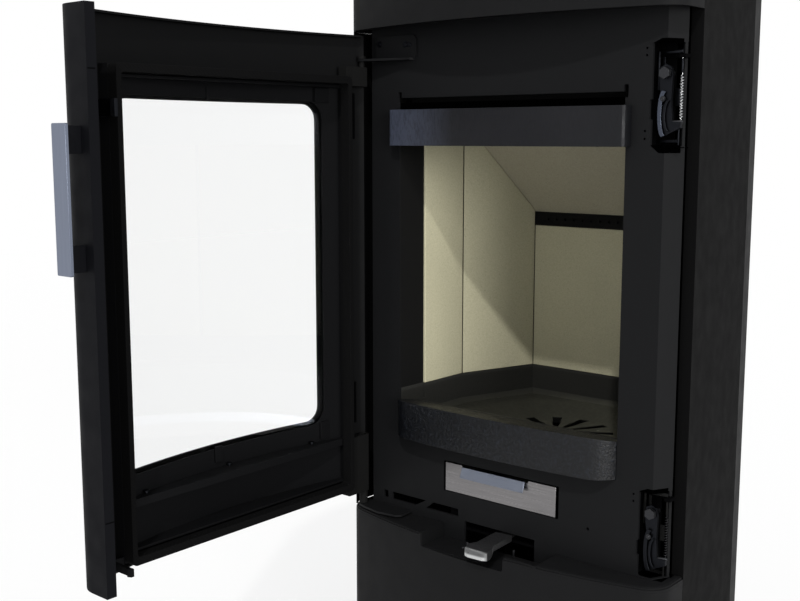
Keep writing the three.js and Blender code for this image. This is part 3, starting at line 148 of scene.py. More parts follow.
def cast(name, base, rough=0.6):
    """Sand-cast iron under black: fine pits and soft lumps."""
    s = Shader(name, base, rough, specular=0.12)
    s.tint(s.levels(s.noise(14, 4), 0.45, 0.7, 0, 0.5), [c * 1.4 for c in base])
    s.vary_roughness(s.noise(5, 3), rough - 0.1, rough + 0.1)
    s.bump(s.noise(1.6, 3), 0.16, 0.7)
    s.bump(s.noise(7, 2), 0.25, 0.4)
    return s.mat


def hammered(name, base, painted_glint, rough=0.4):
    """Cast face with a coarse, crinkled skin, and a painted glint on its ridges."""
    s = Shader(name, base, rough, specular=0.3)
    lumps = s.noise(3.6, 4, (1, 1, 0.8), 0.6)
    # painted glint: a paler, bluer colour laid on the ridges of the crinkles
    s.tint(s.levels(lumps, 0.5, 0.68, 0, 0.8), painted_glint)
    s.tint(s.levels(s.noise(1.5, 2), 0.3, 0.45, 0.7, 0), [c * 0.45 for c in base])
    s.vary_roughness(s.noise(2.2, 3), rough - 0.12, rough + 0.14)
    s.bump(lumps, 1.1, 1.0)
    s.bump(s.noise(1.2, 3), 0.25, 0.8)
    return s.mat


GRATE_TOP = 0.350  # top of the fire bowl's grate, in metres


def bowl_iron():
    """Cast iron bottom: darker walls round a paler floor, darker towards the left, and painted shade on the sides
    of the grate's slots.
    """
    painted_slot_shade = (0.0004, 0.0004, 0.0004)
    s = Shader("cast fire bowl", (0.044, 0.044, 0.035), 0.62, specular=0.12)
    s.tint(s.levels(s.noise(30, 3), 0.4, 0.7, 0, 0.5), (0.026, 0.026, 0.021))
    s.tint(s.levels(s.axis("X"), -0.12, 0.02, 0.7, 0), (0.012, 0.012, 0.010))
    s.tint(s.levels(s.axis("Z"), 0.3650, 0.3720, 0, 1), (0.0165, 0.0165, 0.0150))
    s.tint(s.levels(s.axis("Z"), 0.4035, 0.4045, 0, 0.7), (0.028, 0.028, 0.026))
    # painted shade on the sides of the grate's slots, below its top
    s.tint(s.levels(s.axis("Z"), GRATE_TOP - 0.0012, GRATE_TOP - 0.0004, 1, 0), painted_slot_shade)
    s.vary_roughness(s.noise(6, 3), 0.5, 0.7)
    s.bump(s.noise(1.6, 3), 0.12, 0.6)
    s.bump(s.noise(9, 2), 0.2, 0.3)
    return s.mat


def board(name, base, relief=1.0):
    """Pressed vermiculite: flakes, small pits and faint soot clouds."""
    s = Shader(name, base, 0.92, specular=0.12)
    flake = s.cells(3.2, (1, 1, 1.3))
    s.tint(s.levels(flake.outputs["Distance"], 0.25, 0.7, 0, 0.35), [c * 0.78 for c in base])
    s.tint(s.levels(s.noise(1.1, 2), 0.62, 0.74, 0, 0.55), [c * 1.25 for c in base])
    s.tint(s.levels(s.noise(1.7, 2), 0.30, 0.40, 0.5, 0), [c * 0.55 for c in base])
    s.tint(s.levels(s.noise(85, 3), 0.4, 0.7, 0, 0.2), [c * 0.78 for c in base])
    s.bump(s.noise(2.4, 4), 0.25 * relief, 0.8)
    s.bump(s.noise(6.5, 3), 0.5 * relief, 0.5)
    s.bump(flake.outputs["Distance"], 0.12, 0.5)
    return s.mat


def brushed(name, base, rough=0.32, along=(0.02, 1, 1)):
    """Brushed sheet metal, its lines along the axis with the small stretch."""
    s = Shader(name, base, rough, metallic=1.0)
    lines = s.noise(0.35, 2, along)
    s.tint(s.levels(lines, 0.4, 0.65, 0, 0.22), [c * 0.78 for c in base])
    s.vary_roughness(s.noise(1.2, 2, along), rough - 0.08, rough + 0.1)
    s.bump(lines, 0.006, 0.4)
    return s.mat


def lever_metal():
    """Dark satin lever whose nose is polished bright, with a painted dark reflection across its upper half."""
    s = Shader("air lever metal", (0.040, 0.040, 0.042), 0.42, metallic=0.6)
    s.tint(s.levels(s.noise(0.5, 2, (1, 0.05, 1)), 0.4, 0.65, 0, 0.5), (0.022, 0.022, 0.024))
    nose = s.levels(s.axis("Y"), -0.0745, -0.0715, 1, 0)
    s.tint(nose, (0.50, 0.505, 0.51))
    # painted reflection: the polished nose is darkened over its upper part, leaving its lower edge bright
    band = s.new("ShaderNodeMath", operation="MULTIPLY")
    s.link(s.levels(s.axis("Z"), 0.2305, 0.2325, 0, 0.9), band.inputs[0])
    s.link(nose, band.inputs[1])
    s.tint(band.outputs[0], (0.085, 0.086, 0.088))
    s.vary_roughness(s.noise(3, 3), 0.26, 0.48)
    s.bump(s.noise(2.5, 2), 0.05, 0.5)
    return s.mat


MATERIALS = {
    # The stove's one black paint is split into copies set darker or paler group by group as painted light and
    # shade, standing for how much light each group gets: covers, side panels and posts, door parts and front plate.
    "paint": paint("stove paint", (0.0068, 0.0069, 0.0074)),
    "side_paint": paint("side paint darkened as painted shade", (0.0038, 0.0038, 0.0039), 0.7, specular=0.02),
    "door_paint": paint("door paint darkened as painted shade", (0.0044, 0.0045, 0.0050), specular=0.05),
    "plate_paint": paint("front plate paint", (0.0070, 0.0072, 0.0078), 0.55),
    "dark": paint("inner steel", (0.0066, 0.0066, 0.0066), 0.7, specular=0.06),
    # black for dark inner parts, and painted shade where its sheets stand for the dark in slots, seams and latch
    # pockets
    "black": paint("black with painted gap shade", (0.0012, 0.0012, 0.0014), 0.8, specular=0.02),
    "void": paint("unlit gap", (0.0002, 0.0002, 0.0002), 0.9, specular=0.0),
    "rear": paint("rear sheet", (0.009, 0.009, 0.0093), 0.6),
    "cast": cast("cast iron", (0.009, 0.009, 0.0095)),
    "bowl": bowl_iron(),
    # the last colour is the lip's painted glint on its ridges
    "lip": hammered("cast ash lip", (0.0018, 0.0022, 0.0032), (0.0080, 0.0102, 0.0155)),
    "board": board("vermiculite board", (0.50, 0.475, 0.335)),
    "baffle": board("baffle board", (0.36, 0.335, 0.25), 2.4),
    "soot": paint("joint soot", (0.030, 0.027, 0.020), 0.9, specular=0.02),
    "steel": brushed("stainless sheet", (0.23, 0.222, 0.225)),
    "pull": brushed("drawer pull", (0.25, 0.275, 0.34), 0.4),
    "handle": brushed("stainless handle", (0.20, 0.225, 0.29), 0.4, (1, 1, 0.02)),
    "zinc": brushed("dull zinc", (0.045, 0.046, 0.050), 0.45),
    "spring": brushed("spring wire", (0.55, 0.56, 0.57), 0.25, (1, 1, 1)),
    "spring_in_painted_shade": brushed("spring wire in painted shade", (0.03, 0.03, 0.032), 0.4, (1, 1, 1)),
    "cam": brushed("blackened latch steel", (0.015, 0.016, 0.019), 0.4, (1, 1, 0.1)),
    "shoe": brushed("cam face with painted sheen", (0.070, 0.080, 0.105), 0.3, (1, 1, 0.1)),
    "lever": lever_metal(),
}


def lintel_material():
    """Sheet over the fire, with a painted bluish reflection at its left and painted shade towards its right and on
    its right-hand return.
    """
    s = Shader("lintel sheet with painted reflection", (0.0105, 0.0108, 0.0132), 0.42, metallic=0.4, specular=0.3)
    # painted reflection: paler and bluer towards the left end
    s.tint(s.levels(s.axis("X"), -0.19, -0.07, 1, 0), (0.072, 0.083, 0.122))
    # painted shade: darker towards the right, and near black on the return
    s.tint(s.levels(s.axis("X"), 0.10, 0.18, 0, 0.7), (0.0055, 0.006, 0.0075))
    s.tint(s.levels(s.axis("X"), 0.183, 0.1865, 0, 1), (0.0012, 0.0012, 0.0014))
    s.tint(s.levels(s.noise(2.0, 3, (1, 1, 0.3)), 0.45, 0.7, 0, 0.45), (0.006, 0.006, 0.0075))
    s.vary_roughness(s.noise(3, 3, (1, 1, 0.3)), 0.32, 0.56)
    s.bump(s.noise(2.2, 3, (1, 1, 0.35)), 0.22, 0.9)
    s.bump(s.noise(0.7, 2, (1, 1, 0.2)), 0.04, 0.6)
    return s.mat


def glass_material():
    """Clear ceramic glass with a trace of haze."""
    s = Shader("ceramic glass", (0.98, 0.985, 0.985), 0.0)
    s.bsdf.inputs["Transmission Weight"].default_value = 1.0
    s.bsdf.inputs["IOR"].default_value = 1.45
    s.link(s.levels(s.noise(40, 3), 0.5, 0.8, 0.0, 0.035), s.bsdf.inputs["Roughness"])
    return s.mat


def skin_material():
    """The door's paint, darker and bluer on the latch-side post than inside the channel, as painted shade."""
    s = Shader("door skin paint", (0.0044, 0.0045, 0.0048), 0.62, specular=0.06)
    # with the door open, the post is the end of the skin that stands furthest forward
    # painted shade: the post is made darker and a little bluer
    s.tint(s.levels(s.axis("Y"), -0.474, -0.470, 1, 0), (0.0036, 0.0038, 0.0050))
    s.tint(s.levels(s.noise(1.3, 3), 0.5, 0.75, 0, 0.3), (0.0034, 0.0034, 0.0036))
    s.vary_roughness(s.noise(24, 3), 0.55, 0.68)
    s.bump(s.noise(0.45, 2), 0.03)
    return s.mat


def rope_material():
    """Blackened seal rope with a faint diagonal weave."""
    s = Shader("woven glass rope", (0.0034, 0.0034, 0.0036), 0.9, specular=0.04)
    weave = s.new("ShaderNodeTexWave", wave_type="BANDS", bands_direction="DIAGONAL")
    s.link(s.place(), weave.inputs["Vector"])
    weave.inputs["Scale"].default_value = 110
    weave.inputs["Distortion"].default_value = 1.5
    s.tint(s.levels(weave.outputs["Fac"], 0.3, 0.8, 0, 0.35), (0.0048, 0.0048, 0.0048))
    s.bump(weave.outputs["Fac"], 0.3, 0.5)
    s.bump(s.noise(0.7, 3), 0.15, 0.6)
    return s.mat


MATERIALS["lintel"] = lintel_material()
MATERIALS["glass"] = glass_material()
MATERIALS["rope"] = rope_material()
MATERIALS["skin_paint"] = skin_material()

FINISH = {
    "paint": ["lower_cover", "upper_cover", "top_plate"],
    "side_paint": ["side_panel_left", "side_panel_right", "hinge_side_post"],
    "door_paint": ["door_inner_frame", "door_shelf", "latch_tab_lower"],
    "skin_paint": ["door_skin", "handle_mount_upper", "handle_mount_lower"],
    "plate_paint": ["front_plate", "hinge_bracket_upper", "hinge_bracket_lower"],
    "black": ["latch_bracket_upper", "latch_bracket_lower", "air_box"],
    "rear": ["rear_panel", "rear_outlet_cover"],
    "cast": ["flue_collar"],
    "bowl": ["fire_bowl"],
    "lip": ["ash_lip"],
    "lintel": ["air_wash_lintel"],
    "board": ["lining_front_left", "lining_front_right", "lining_rear_left", "lining_rear_right", "lining_back"],
    "baffle": ["baffle"],
    "steel": ["ash_drawer", "ash_drawer_front"],
    "handle": ["door_handle"],
    "zinc": ["latch_pivot_upper", "latch_pivot_lower"],
    "cam": ["latch_cam_upper", "latch_cam_lower", "latch_tab_upper"],
    "lever": ["air_lever_grip"],
    "glass": ["door_glass"],
    "rope": ["door_seal"],
}
finish_of = {name: finish for finish, names in FINISH.items() for name in names}
# edge rounds by finish, in millimetres; the others have a plain sheet's round
SHEET_EDGE = 0.5
SOFT_EDGES = {
    "board": 1.2, "baffle": 1.2, "cast": 1.0, "bowl": 1.2, "lip": 2.2, "rope": 3.0, "glass": 0.3,
    "zinc": 0.2, "cam": 0.15,
}
WELD_DISTANCE = 0.00001
FLAT_ANGLE = math.radians(0.4)
SHARP_ANGLE = math.radians(25)


def dress(name, obj):
    """Gives a CAD node its finish and rounds its edges, without touching its shape."""
    finish = finish_of.get(name, "dark")
    mesh = obj.data
    mesh.materials.clear()
    mesh.materials.append(MATERIALS[finish])
    for attribute in ("custom_normal", "sharp_edge", "sharp_face"):
        if attribute in mesh.attributes:
            mesh.attributes.remove(mesh.attributes[attribute])
    mesh.polygons.foreach_set("use_smooth", [True] * len(mesh.polygons))
    weld = obj.modifiers.new("weld", "WELD")
    weld.merge_threshold = WELD_DISTANCE
    flats = obj.modifiers.new("flats", "DECIMATE")
    flats.decimate_type = "DISSOLVE"
    flats.angle_limit = FLAT_ANGLE
    bevel = obj.modifiers.new("edges", "BEVEL")
    bevel.width = SOFT_EDGES.get(finish, SHEET_EDGE) * MM
    bevel.segments = 2
    bevel.limit_method = "ANGLE"
    bevel.angle_limit = SHARP_ANGLE
    bevel.use_clamp_overlap = True
    bevel.harden_normals = True


for name, obj in nodes.items():
    dress(name, obj)


# ---------------------------------------------------------------- piece helpers, in millimetres
def rounded(bm, soft):
    """Rounds the sharp edges of a mesh being built; only the rounds are shaded smooth."""
    edges = [e for e in bm.edges if e.is_manifold and e.calc_face_angle(0) > SHARP_ANGLE]
    if soft:
        result = bmesh.ops.bevel(
            bm, geom=edges, offset=soft * MM, segments=2, profile=0.5, affect="EDGES", clamp_overlap=True
        )
        for face in result["faces"]:
            face.smooth = True
    return bm


def slab(outline, low, high, normal="y", soft=0.3):
    """A flat piece: an outline in the plane square to an axis, given thickness along that axis."""
    order = {"x": (2, 0, 1), "y": (0, 2, 1), "z": (0, 1, 2)}[normal]
    bm = bmesh.new()
    rings = []
    for level in (low, high):
        ring = []
        for a, b in outline:
            values = (a, b, level)
            ring.append(bm.verts.new([values[order[i]] * MM for i in range(3)]))
        rings.append(ring)
    bm.faces.new(rings[0])
    bm.faces.new(rings[1][::-1])
    for i in range(len(outline)):
        j = (i + 1) % len(outline)
        bm.faces.new((rings[0][j], rings[0][i], rings[1][i], rings[1][j]))
    bmesh.ops.recalc_face_normals(bm, faces=bm.faces)
    return rounded(bm, soft)


def box(xs, ys, zs, soft=0.3):
    """A rectangular block between a pair of limits on each axis."""
    return slab([(xs[0], ys[0]), (xs[1], ys[0]), (xs[1], ys[1]), (xs[0], ys[1])], *zs, "z", soft)


def rod(a, b, radius, soft=0.3, sides=20):
    """A round bar between two points; six sides make it a hexagon."""
    a, b = Vector(a) * MM, Vector(b) * MM
    bm = bmesh.new()
    bmesh.ops.create_cone(
        bm, cap_ends=True, segments=sides, radius1=radius * MM, radius2=radius * MM, depth=(b - a).length
    )
    for face in bm.faces:
        face.smooth = sides > 8 and len(face.verts) == 4
    turn = (b - a).to_track_quat("Z", "Y").to_matrix().to_4x4()
    bmesh.ops.transform(bm, matrix=Matrix.Translation((a + b) / 2) @ turn, verts=bm.verts)
    return rounded(bm, soft)


def screw(at, way, radius, height, sides=20):
    """A washer under a round or hexagonal head, standing on a surface."""
    at, way = Vector(at), Vector(way)
    washer = rod(at - way * 0.2, at + way * 0.7, radius * 1.35, 0.15)
    return [washer, rod(at, at + way * height, radius, 0.5, sides)]


def joined(name, parts, matrix=None):
    """One mesh from several parts."""
    whole = bmesh.new()
    for bm in parts:
        part = bpy.data.meshes.new("part")
        bm.to_mesh(part)
        bm.free()
        whole.from_mesh(part)
        bpy.data.meshes.remove(part)
    if matrix is not None:
        bmesh.ops.transform(whole, matrix=matrix, verts=whole.verts)
    mesh = bpy.data.meshes.new(name)
    whole.to_mesh(mesh)
    whole.free()
    return mesh


def add(name, parts, finish, body="stove", matrix=None):
    """A piece of the scene made of parts, which rides a body."""
    mesh = joined(name, parts, matrix)
    obj = bpy.data.objects.new(name, mesh)
    scene.collection.objects.link(obj)
    mesh.materials.append(MATERIALS[finish])
    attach(obj, body)
    return obj


def coil_mesh(name, centre, radius, wire, coil, ends, turns):
    """An upright helical spring of round wire, drawn in to its axis and straight towards both ends."""
    steps_per_turn, draw_in = 24, 14
    curve = bpy.data.curves.new(name, "CURVE")
    curve.dimensions = "3D"
    curve.bevel_depth = wire * MM
    curve.bevel_resolution = 3
    steps = turns * steps_per_turn
    path = [(centre[0], centre[1], ends[0])]
    for i in range(steps + 1):
        a = 2 * math.pi * turns * i / steps
        ease = min(1, i / draw_in, (steps - i) / draw_in)
        r = radius * (0.2 + 0.8 * ease)
        z = coil[0] + (coil[1] - coil[0]) * i / steps
        path.append((centre[0] + r * math.cos(a), centre[1] + r * math.sin(a), z))
    path.append((centre[0], centre[1], ends[1]))
    spline = curve.splines.new("POLY")
    spline.points.add(len(path) - 1)
    for point, (x, y, z) in zip(spline.points, path):
        point.co = (x * MM, y * MM, z * MM, 1)
    holder = bpy.data.objects.new(name, curve)
    scene.collection.objects.link(holder)
    mesh = bpy.data.meshes.new_from_object(holder)
    bpy.data.objects.remove(holder)
    mesh.polygons.foreach_set("use_smooth", [True] * len(mesh.polygons))
    mesh.set_sharp_from_angle(angle=math.radians(60))
    return mesh


# ---------------------------------------------------------------- camera
CAMERA_AT = Vector((0.832, -1.178, 0.759))
CAMERA_YAW = math.radians(40.47)
CAMERA_PITCH = math.radians(8.25)
camera_data = bpy.data.cameras.new("camera")
camera_data.sensor_width = 36
camera_data.lens = 50.38
camera = bpy.data.objects.new("camera", camera_data)
camera.location = CAMERA_AT
camera.rotation_euler = (math.pi / 2 - CAMERA_PITCH, 0, CAMERA_YAW)
scene.collection.objects.link(camera)
scene.camera = camera


# ---------------------------------------------------------------- floor, world and lamps
def background_share(tree):
    """1 where the camera, a gloss or a clear surface looks, and 0 for light that is scattered."""
    path = tree.nodes.new("ShaderNodeLightPath")
    seen = tree.nodes.new("ShaderNodeMath")
    seen.operation = "MAXIMUM"
    tree.links.new(path.outputs["Is Camera Ray"], seen.inputs[0])
    tree.links.new(path.outputs["Is Glossy Ray"], seen.inputs[1])
    both = tree.nodes.new("ShaderNodeMath")
    both.operation = "MAXIMUM"
    tree.links.new(seen.outputs[0], both.inputs[0])
    tree.links.new(path.outputs["Is Transmission Ray"], both.inputs[1])
    return both.outputs[0]


def build_world():
    """A white background, which gives a soft light of its own strength."""
    world = bpy.data.worlds.new("studio")
    scene.world = world
    world.use_nodes = True
    tree = world.node_tree
    tree.nodes.clear()
    out = tree.nodes.new("ShaderNodeOutputWorld")
    ambient = tree.nodes.new("ShaderNodeBackground")
    ambient.inputs["Color"].default_value = (0.98, 0.99, 1.0, 1)
    ambient.inputs["Strength"].default_value = 0.8
    white = tree.nodes.new("ShaderNodeBackground")
    white.inputs["Strength"].default_value = 1.0
    white.inputs["Color"].default_value = (1, 1, 1, 1)
    mix = tree.nodes.new("ShaderNodeMixShader")
    tree.links.new(background_share(tree), mix.inputs["Fac"])
    tree.links.new(ambient.outputs[0], mix.inputs[1])
    tree.links.new(white.outputs[0], mix.inputs[2])
    tree.links.new(mix.outputs[0], out.inputs["Surface"])


def build_floor():
    """A pale floor that takes faint shadows and fades into the background."""
    half = 6  # metres
    mesh = bpy.data.meshes.new("floor")
    corners = [(-half, -half, 0), (half, -half, 0), (half, half, 0), (-half, half, 0)]
    mesh.from_pydata(corners, [], [(0, 1, 2, 3)])
    floor = bpy.data.objects.new("floor", mesh)
    scene.collection.objects.link(floor)
    mat = bpy.data.materials.new("pale floor")
    mat.use_nodes = True
    tree = mat.node_tree
    bsdf = tree.nodes["Principled BSDF"]
    bsdf.inputs["Base Color"].default_value = (0.82, 0.82, 0.82, 1)
    bsdf.inputs["Roughness"].default_value = 0.9
    bsdf.inputs["Specular IOR Level"].default_value = 0.0
    glow = tree.nodes.new("ShaderNodeEmission")
    glow.inputs["Strength"].default_value = 1.0
    mix = tree.nodes.new("ShaderNodeMixShader")
    share = tree.nodes.new("ShaderNodeMath")
    share.operation = "MULTIPLY"
    share.inputs[1].default_value = 0.8
    tree.links.new(background_share(tree), share.inputs[0])
    tree.links.new(share.outputs[0], mix.inputs["Fac"])
    tree.links.new(bsdf.outputs[0], mix.inputs[1])
    tree.links.new(glow.outputs[0], mix.inputs[2])
    tree.links.new(mix.outputs[0], tree.nodes["Material Output"].inputs["Surface"])
    mesh.materials.append(mat)


def aim(obj, direction):
    """Turns a lamp to shine along a direction."""
    obj.rotation_mode = "QUATERNION"
    obj.rotation_quaternion = Vector(direction).to_track_quat("-Z", "Y")


def build_lamps():
    """A key from the upper right and a broad fill on the right-hand side."""
    for name, energy, angle, direction in (
        ("key", 1.6, 2, (-0.6, 1.0, -1.17)),
        ("side fill", 1.7, 26, (-0.9, 0.40, -0.12)),
    ):
        data = bpy.data.lights.new(name, "SUN")
        data.energy = energy
        data.angle = math.radians(angle)
        data.color = (1.0, 0.99, 0.965)
        lamp = bpy.data.objects.new(name, data)
        aim(lamp, direction)
        scene.collection.objects.link(lamp)


build_world()
build_floor()
build_lamps()


# ---------------------------------------------------------------- latches
TAB_Z = {"upper": 791.6, "lower": 270.0}  # middle of each latch's tab
POCKET_Z = {"upper": (750, 867), "lower": (231, 339)}
POCKET_X = 206  # pocket's inner edge
POCKET_DEEP = (199, 236)  # width of the space behind the pocket
BEND_X = 224  # the front plate's wing bends back from here
WING = Vector((13, 25)).normalized()  # the wing's run in plan
SHEET = 1.0  # plates that close the pocket
SPRING_X, SPRING_Y = 236, 14
SPRING_HOOK, SPRING_PEG = 57, -12.7  # above the tab
COIL_FROM, COIL_TO = -11.5, 39  # above the tab
COIL_TURNS = 16


def along_wing(s, off=0.0):
    """A point of the wing's face in plan, at a run from the bend and a distance in front of it."""
    return (BEND_X + WING.x * s + WING.y * off, WING.y * s - WING.x * off)


def cut_off_corner(square_z, far_z):
    """Unlit black sheets of painted shade at the end of the pocket, from its square corner to the slanted one, on
    the plate and its wing.
    """
    slant = 11
    flat = [(POCKET_X, square_z), (POCKET_X + slant, far_z), (BEND_X, far_z), (BEND_X, square_z)]
    wing = [along_wing(0, 0.05), along_wing(22, 0.05), along_wing(22, 0.35), along_wing(0, 0.35)]
    return [slab(flat, -0.35, -0.05, "y", 0), slab(wing, min(square_z, far_z), max(square_z, far_z), "z", 0)]


def add_pocket(level):
    """Unlit black sheets of painted shade at the ends, bottom and back of the pocket, and the strip of the wing
    that closes its outer side.
    """
    low, high = POCKET_Z[level]
    shade = cut_off_corner(high - 1, high + 4)
    if level == "upper":
        shade += cut_off_corner(low + 1, low - 8)
    bottom = (low - 1.2 - SHEET, low - 1.2)
    shade.append(box((199, 237), (4.3, 24.2), bottom, 0.2))
    shade.append(box(POCKET_DEEP, (24.4, 58), bottom, 0.2))
    shade.append(box(POCKET_DEEP, (57.4, 57.4 + SHEET), (bottom[0], high + 5), 0.2))
    add(f"latch_shade_{level}", shade, "void")
    strip = [along_wing(24, 0), along_wing(28, 0), along_wing(28, -3.6), along_wing(24, -3.6)]
    add(f"latch_edge_{level}", [slab(strip, low - 0.5, high + 0.5, "z", 0.3)], "plate_paint")


def add_bars(level):
    """Bars and plates of the bracket in the pocket, behind and beside the cam."""
    tab, low = TAB_Z[level], POCKET_Z[level][0]
    bars = [
        rod((215.5, 15, tab + 64.4), (236, 15, tab + 65), 2.2),
        rod((203.5, 20, tab + 22.4), (203.5, 20, tab + 65.9), 2.0),
        box((209, 212), (19, 22), (tab + 17, tab + 60), 0.4),
        box((POCKET_X + 1, 231), (21, 23.5), (tab - 38, tab - 34), 0.5),
        rod((231, 19.5, low - 1), (231, 19.5, tab - 20), 1.3),
        rod((SPRING_X, SPRING_Y, tab + 41), (SPRING_X, SPRING_Y, tab + SPRING_HOOK), 1.2),
        box((223.4, 229.5), (22, 24.2), (tab + 4, tab + 24), 0.6),
    ]
    # painted shade: the lower bracket's bars take the matte inner paint instead of the latch steel
    add(f"latch_bars_{level}", bars, "cam" if level == "upper" else "dark")


def add_cam_details(level):
    """Bolt, working face with a painted bluish sheen, inner ridge and spring peg of the cam, which move with it."""
    tab, body = TAB_Z[level], f"latch_{level}"
    bolt = screw((217.4, 5.0, tab + 12), (0, -1, 0), 2.4, 1.8, 6)
    add(f"latch_bolt_{level}", bolt, "zinc", body)
    middle = tab - 5
    bulge = []
    for i in range(13):
        a = math.radians(100 + 160 * i / 12)
        bulge.append((217.2 + 6.4 * math.cos(a), middle + 27 * math.sin(a)))
    inner = [(x + 4.8, z * 0.93 + middle * 0.07) for x, z in reversed(bulge)]
    # painted sheen: only the upper cam's face takes the paler, bluer finish
    add(f"cam_shoe_{level}", [slab(bulge + inner, 4.6, 7.2, "y", 0.5)], "shoe" if level == "upper" else "cam", body)
    ridge = [(x + 6.4, z * 0.66 + (tab - 12) * 0.34) for x, z in bulge]
    ridge += [(x + 3.2, z) for x, z in reversed(ridge)]
    add(f"cam_ridge_{level}", [slab(ridge, 4.9, 7.2, "y", 0.5)], "cam", body)
    add(f"latch_peg_{level}", [rod((227, 11, tab - 14.3), (239, 13.5, tab - 14.3), 2.0)], "zinc", body)


def add_spring(level):
    """Thin coil spring between its hook on the bracket and the peg on the cam."""
    tab = TAB_Z[level]
    start, end = (SPRING_X, SPRING_Y, tab + SPRING_HOOK), (SPRING_X, SPRING_Y, tab + SPRING_PEG)
    name = f"coil_{level}"
    span, ends = (tab + COIL_FROM, tab + COIL_TO), (end[2] - 3, start[2] + 2)
    mesh = coil_mesh(name, start, 1.75, 0.5, span, ends, COIL_TURNS)
    # the lower spring takes the dark copy of the wire as painted shade
    mesh.materials.append(MATERIALS["spring" if level == "upper" else "spring_in_painted_shade"])
    coil = bpy.data.objects.new(name, mesh)
    scene.collection.objects.link(coil)
    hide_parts(f"latch_spring_{level}")
    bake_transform(coil)


for each in TAB_Z:
    add_pocket(each)
    add_bars(each)
    add_cam_details(each)
    add_spring(each)


# ---------------------------------------------------------------- front of the stove
FIRE_HALF = 172  # half the fire opening, and the air slot over it
# painted shade: the plate between the lintel and the air slot is covered by a black sheet
LINTEL_TOP, AIR_SLOT_Z = 797.2, 806.3  # a black strip runs from the lintel up to the air slot
LEVER_SLOT_HALF = 56.9
DRAWER_HALF = 89
DRAWER_Z = (278.5, 318.5)
DRAWER_NOTCH_X, DRAWER_NOTCH_Z = (-61, 47), 315.2
PULL_X = (-59, 43)
TRAY_Z = 211  # floor of the recess round the lever
OUT, UP = (0, -1, 0), (0, 0, 1)


def lower_cover_with_recess():
    """The lower cover with its front strip cut down where the air lever's grip travels."""
    mesh = nodes["lower_cover"].data.copy()
    mesh.name = "lower_cover_front"
    obj = bpy.data.objects.new("lower_cover_front", mesh)
    scene.collection.objects.link(obj)
    cutter_mesh = joined("recess", [box((-91.9, 46), (-70, -47.8), (211.2, 240), 3.0)])
    cutter = bpy.data.objects.new("recess", cutter_mesh)
    scene.collection.objects.link(cutter)
    weld = obj.modifiers.new("weld", "WELD")
    weld.merge_threshold = WELD_DISTANCE
    cut = obj.modifiers.new("cut", "BOOLEAN")
    cut.operation = "DIFFERENCE"
    cut.object = cutter
    cut.solver = "EXACT"
    bpy.context.view_layer.update()
    shaped = bpy.data.meshes.new_from_object(obj.evaluated_get(bpy.context.evaluated_depsgraph_get()))
    bpy.data.objects.remove(cutter)
    obj.modifiers.clear()
    obj.data = shaped
    dress("lower_cover", obj)
    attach(obj, "stove")
    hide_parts("lower_cover")


def add_front_details():
    """Slots, gaps and screws on the front plate, its brackets and the tray under the lever."""
    # strip that lowers the head of the lever's slot
    slot_head = box((-LEVER_SLOT_HALF, LEVER_SLOT_HALF), (0.03, 3.9), (240.5, 244.6), 0.1)
    add("lever_slot_head", [slot_head], "plate_paint")
    gap = (DRAWER_HALF + 0.4, DRAWER_HALF + 3.6)
    gap_z = (DRAWER_Z[0] - 1.5, DRAWER_Z[1] + 1)
    # painted shade: unlit black sheets over the strip under the air slot and the gaps beside the drawer
    add("painted_gap_shade", [
        box((-FIRE_HALF, FIRE_HALF), (-0.25, 0.02), (LINTEL_TOP, AIR_SLOT_Z), 0),
        box((-gap[1], -gap[0]), (-0.3, 0.02), gap_z, 0),
        box(gap, (-0.3, 0.02), gap_z, 0),
    ], "void")
    # air channel behind the slot over the lintel
    duct = [(4.3, 825), (26, 825), (26, 771), (24.6, 771), (24.6, 823.6), (4.3, 823.6)]
    add("air_wash_channel", [slab(duct, -FIRE_HALF, FIRE_HALF, "x", 0.2)], "dark")
    hinge_screws = screw((-160.6, -3.2, 883.6), OUT, 3.2, 1.6)
    hinge_screws += screw((-153.5, -3.2, 883.0), OUT, 2.4, 1.2)
    hinge_screws += screw((-207.2, -3.2, 886), OUT, 3.2, 1.6)
    add("hinge_screws", hinge_screws, "cam")
    tray_screws = screw((-44.8, -19, TRAY_Z), UP, 2.0, 1.4)
    tray_screws += screw((-47.5, -6, TRAY_Z), UP, 2.0, 3.4)
    tray_screws += screw((27, -3, TRAY_Z), UP, 1.6, 9.5)
    add("tray_screws", tray_screws, "zinc")


def add_firebox_details():
    """The bowl's flange at the foot of the left jamb, and soot lines where the bricks meet."""
    add("bowl_flange", [box((-176.5, -174.3), (5, 62), (381, 408.6), 0.4)], "bowl")
    foot_z, side_x, corner_x = 408.5, 171.75, 128.9
    joints = []
    for side in (-1, 1):
        joints.append(box((side * side_x - 0.3, side * side_x + 0.3), (142.6, 143.9), (foot_z, 759), 0))
        joints.append(rod((side * corner_x, 269.7, foot_z), (side * corner_x, 269.7, 628), 0.55, 0, 8))
    joints.append(box((-128.5, 128.5), (269.6, 270.2), (626.4, 627.4), 0))
    add("brick_joints", joints, "soot")


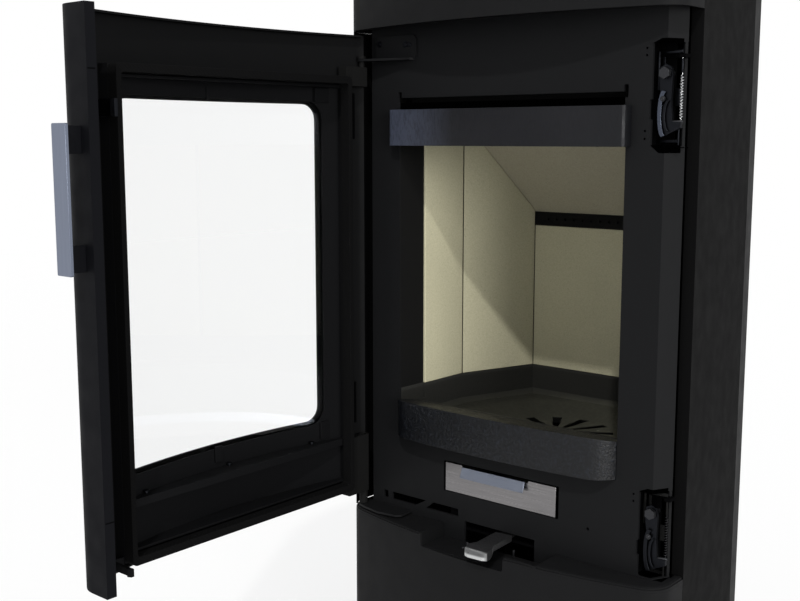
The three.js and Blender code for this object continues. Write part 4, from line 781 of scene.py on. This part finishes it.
def add_drawer_front():
    """The ash drawer's face, notched behind a pull that is pressed forward and down."""
    (left, right), notch_z = DRAWER_NOTCH_X, DRAWER_NOTCH_Z
    low, high = DRAWER_Z
    face = [
        (-DRAWER_HALF, low), (DRAWER_HALF, low), (DRAWER_HALF, high),
        (right, high), (right - 1, notch_z), (left + 1, notch_z), (left, high), (-DRAWER_HALF, high),
    ]
    face_obj = add("drawer_face", [slab(face, -1.5, 0, "y", 0.4)], "steel", "ash_drawer")
    lip = [(-1.2, 314.2), (-2.4, 316.6), (-4.0, 316.9), (-9.4, 303.2), (-8.2, 302.7), (-3.2, 315.3), (-2.4, 315.2)]
    add("drawer_pull", [slab(lip, *PULL_X, "x", 0.35)], "pull", "ash_drawer")
    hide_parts("ash_drawer_front")


lower_cover_with_recess()
add_front_details()
add_firebox_details()
add_drawer_front()


# ---------------------------------------------------------------- door, drawn shut and then swung open
HINGE = Vector((-227, -18, 0)) * MM
OPEN_ANGLE = math.radians(-89.8)
SWING = Matrix.Translation(HINGE) @ Matrix.Rotation(OPEN_ANGLE, 4, "Z") @ Matrix.Translation(-HINGE)


def on_door(name, parts, finish):
    """A piece of the door, given where it stands with the door shut."""
    add(name, parts, finish, "door", matrix=SWING)


def add_door_details():
    """Glass clips and the seams beside them, shelf screws, slots in the skin and lips of the channel."""
    on_door("glass_clips", [
        box((-171, -146), (-33.6, -27.4), (806, 825.5), 0.6),
        box((-168, -151), (-34.5, -28.4), (342.5, 367.5), 0.6),
        box((15, 27), (-46.6, -43.6), (346, 367), 0.6),
        box((23.6, 26.6), (-46.6, -44.6), (806, 821.5), 0.4),
    ], "door_paint")
    # painted shade: black strips stand for the shade in the seams beside the clips
    on_door("glass_seams", [
        box((27, 27.8), (-45.6, -45.0), (347, 369), 0),
        box((26.6, 27.4), (-45.6, -45.1), (806, 821), 0),
    ], "black")
    shelf_screws = []
    for x, y in ((147.5, -29.0), (7.2, -40.5), (-133.4, -30.0)):
        shelf_screws += [rod((x, y, 338.8), (x, y, 341.6), 2.6), rod((x, y, 341.4), (x, y, 343.0), 4.2, 0.5)]
    on_door("shelf_screws", shelf_screws, "cam")
    # painted shade: black boxes stand for the dark inside the slots in the skin
    on_door("band_slots", [
        box((-216.6, -213.4), (-27.2, -21.6), (758, 820), 0.3),
        box((-216.6, -213.4), (-27.2, -21.6), (356, 415), 0.3),
    ], "black")
    # painted shade: black boxes stand for the dark inside the slots in the post
    on_door("post_slots", [
        box((239.5, 249.0), (32.9, 33.12), (829.9, 831.3), 0),
        box((237.5, 248.8), (32.9, 33.12), (341.2, 342.6), 0),
    ], "black")
    on_door("channel_lips", [
        box((-186, 186), (-18.4, -16.6), (826.4, 828.2), 0.4),
        box((-186, 186), (-18.4, -16.6), (278.6, 280.4), 0.4),
    ], "door_paint")


add_door_details()


scene.view_settings.view_transform = "Standard"
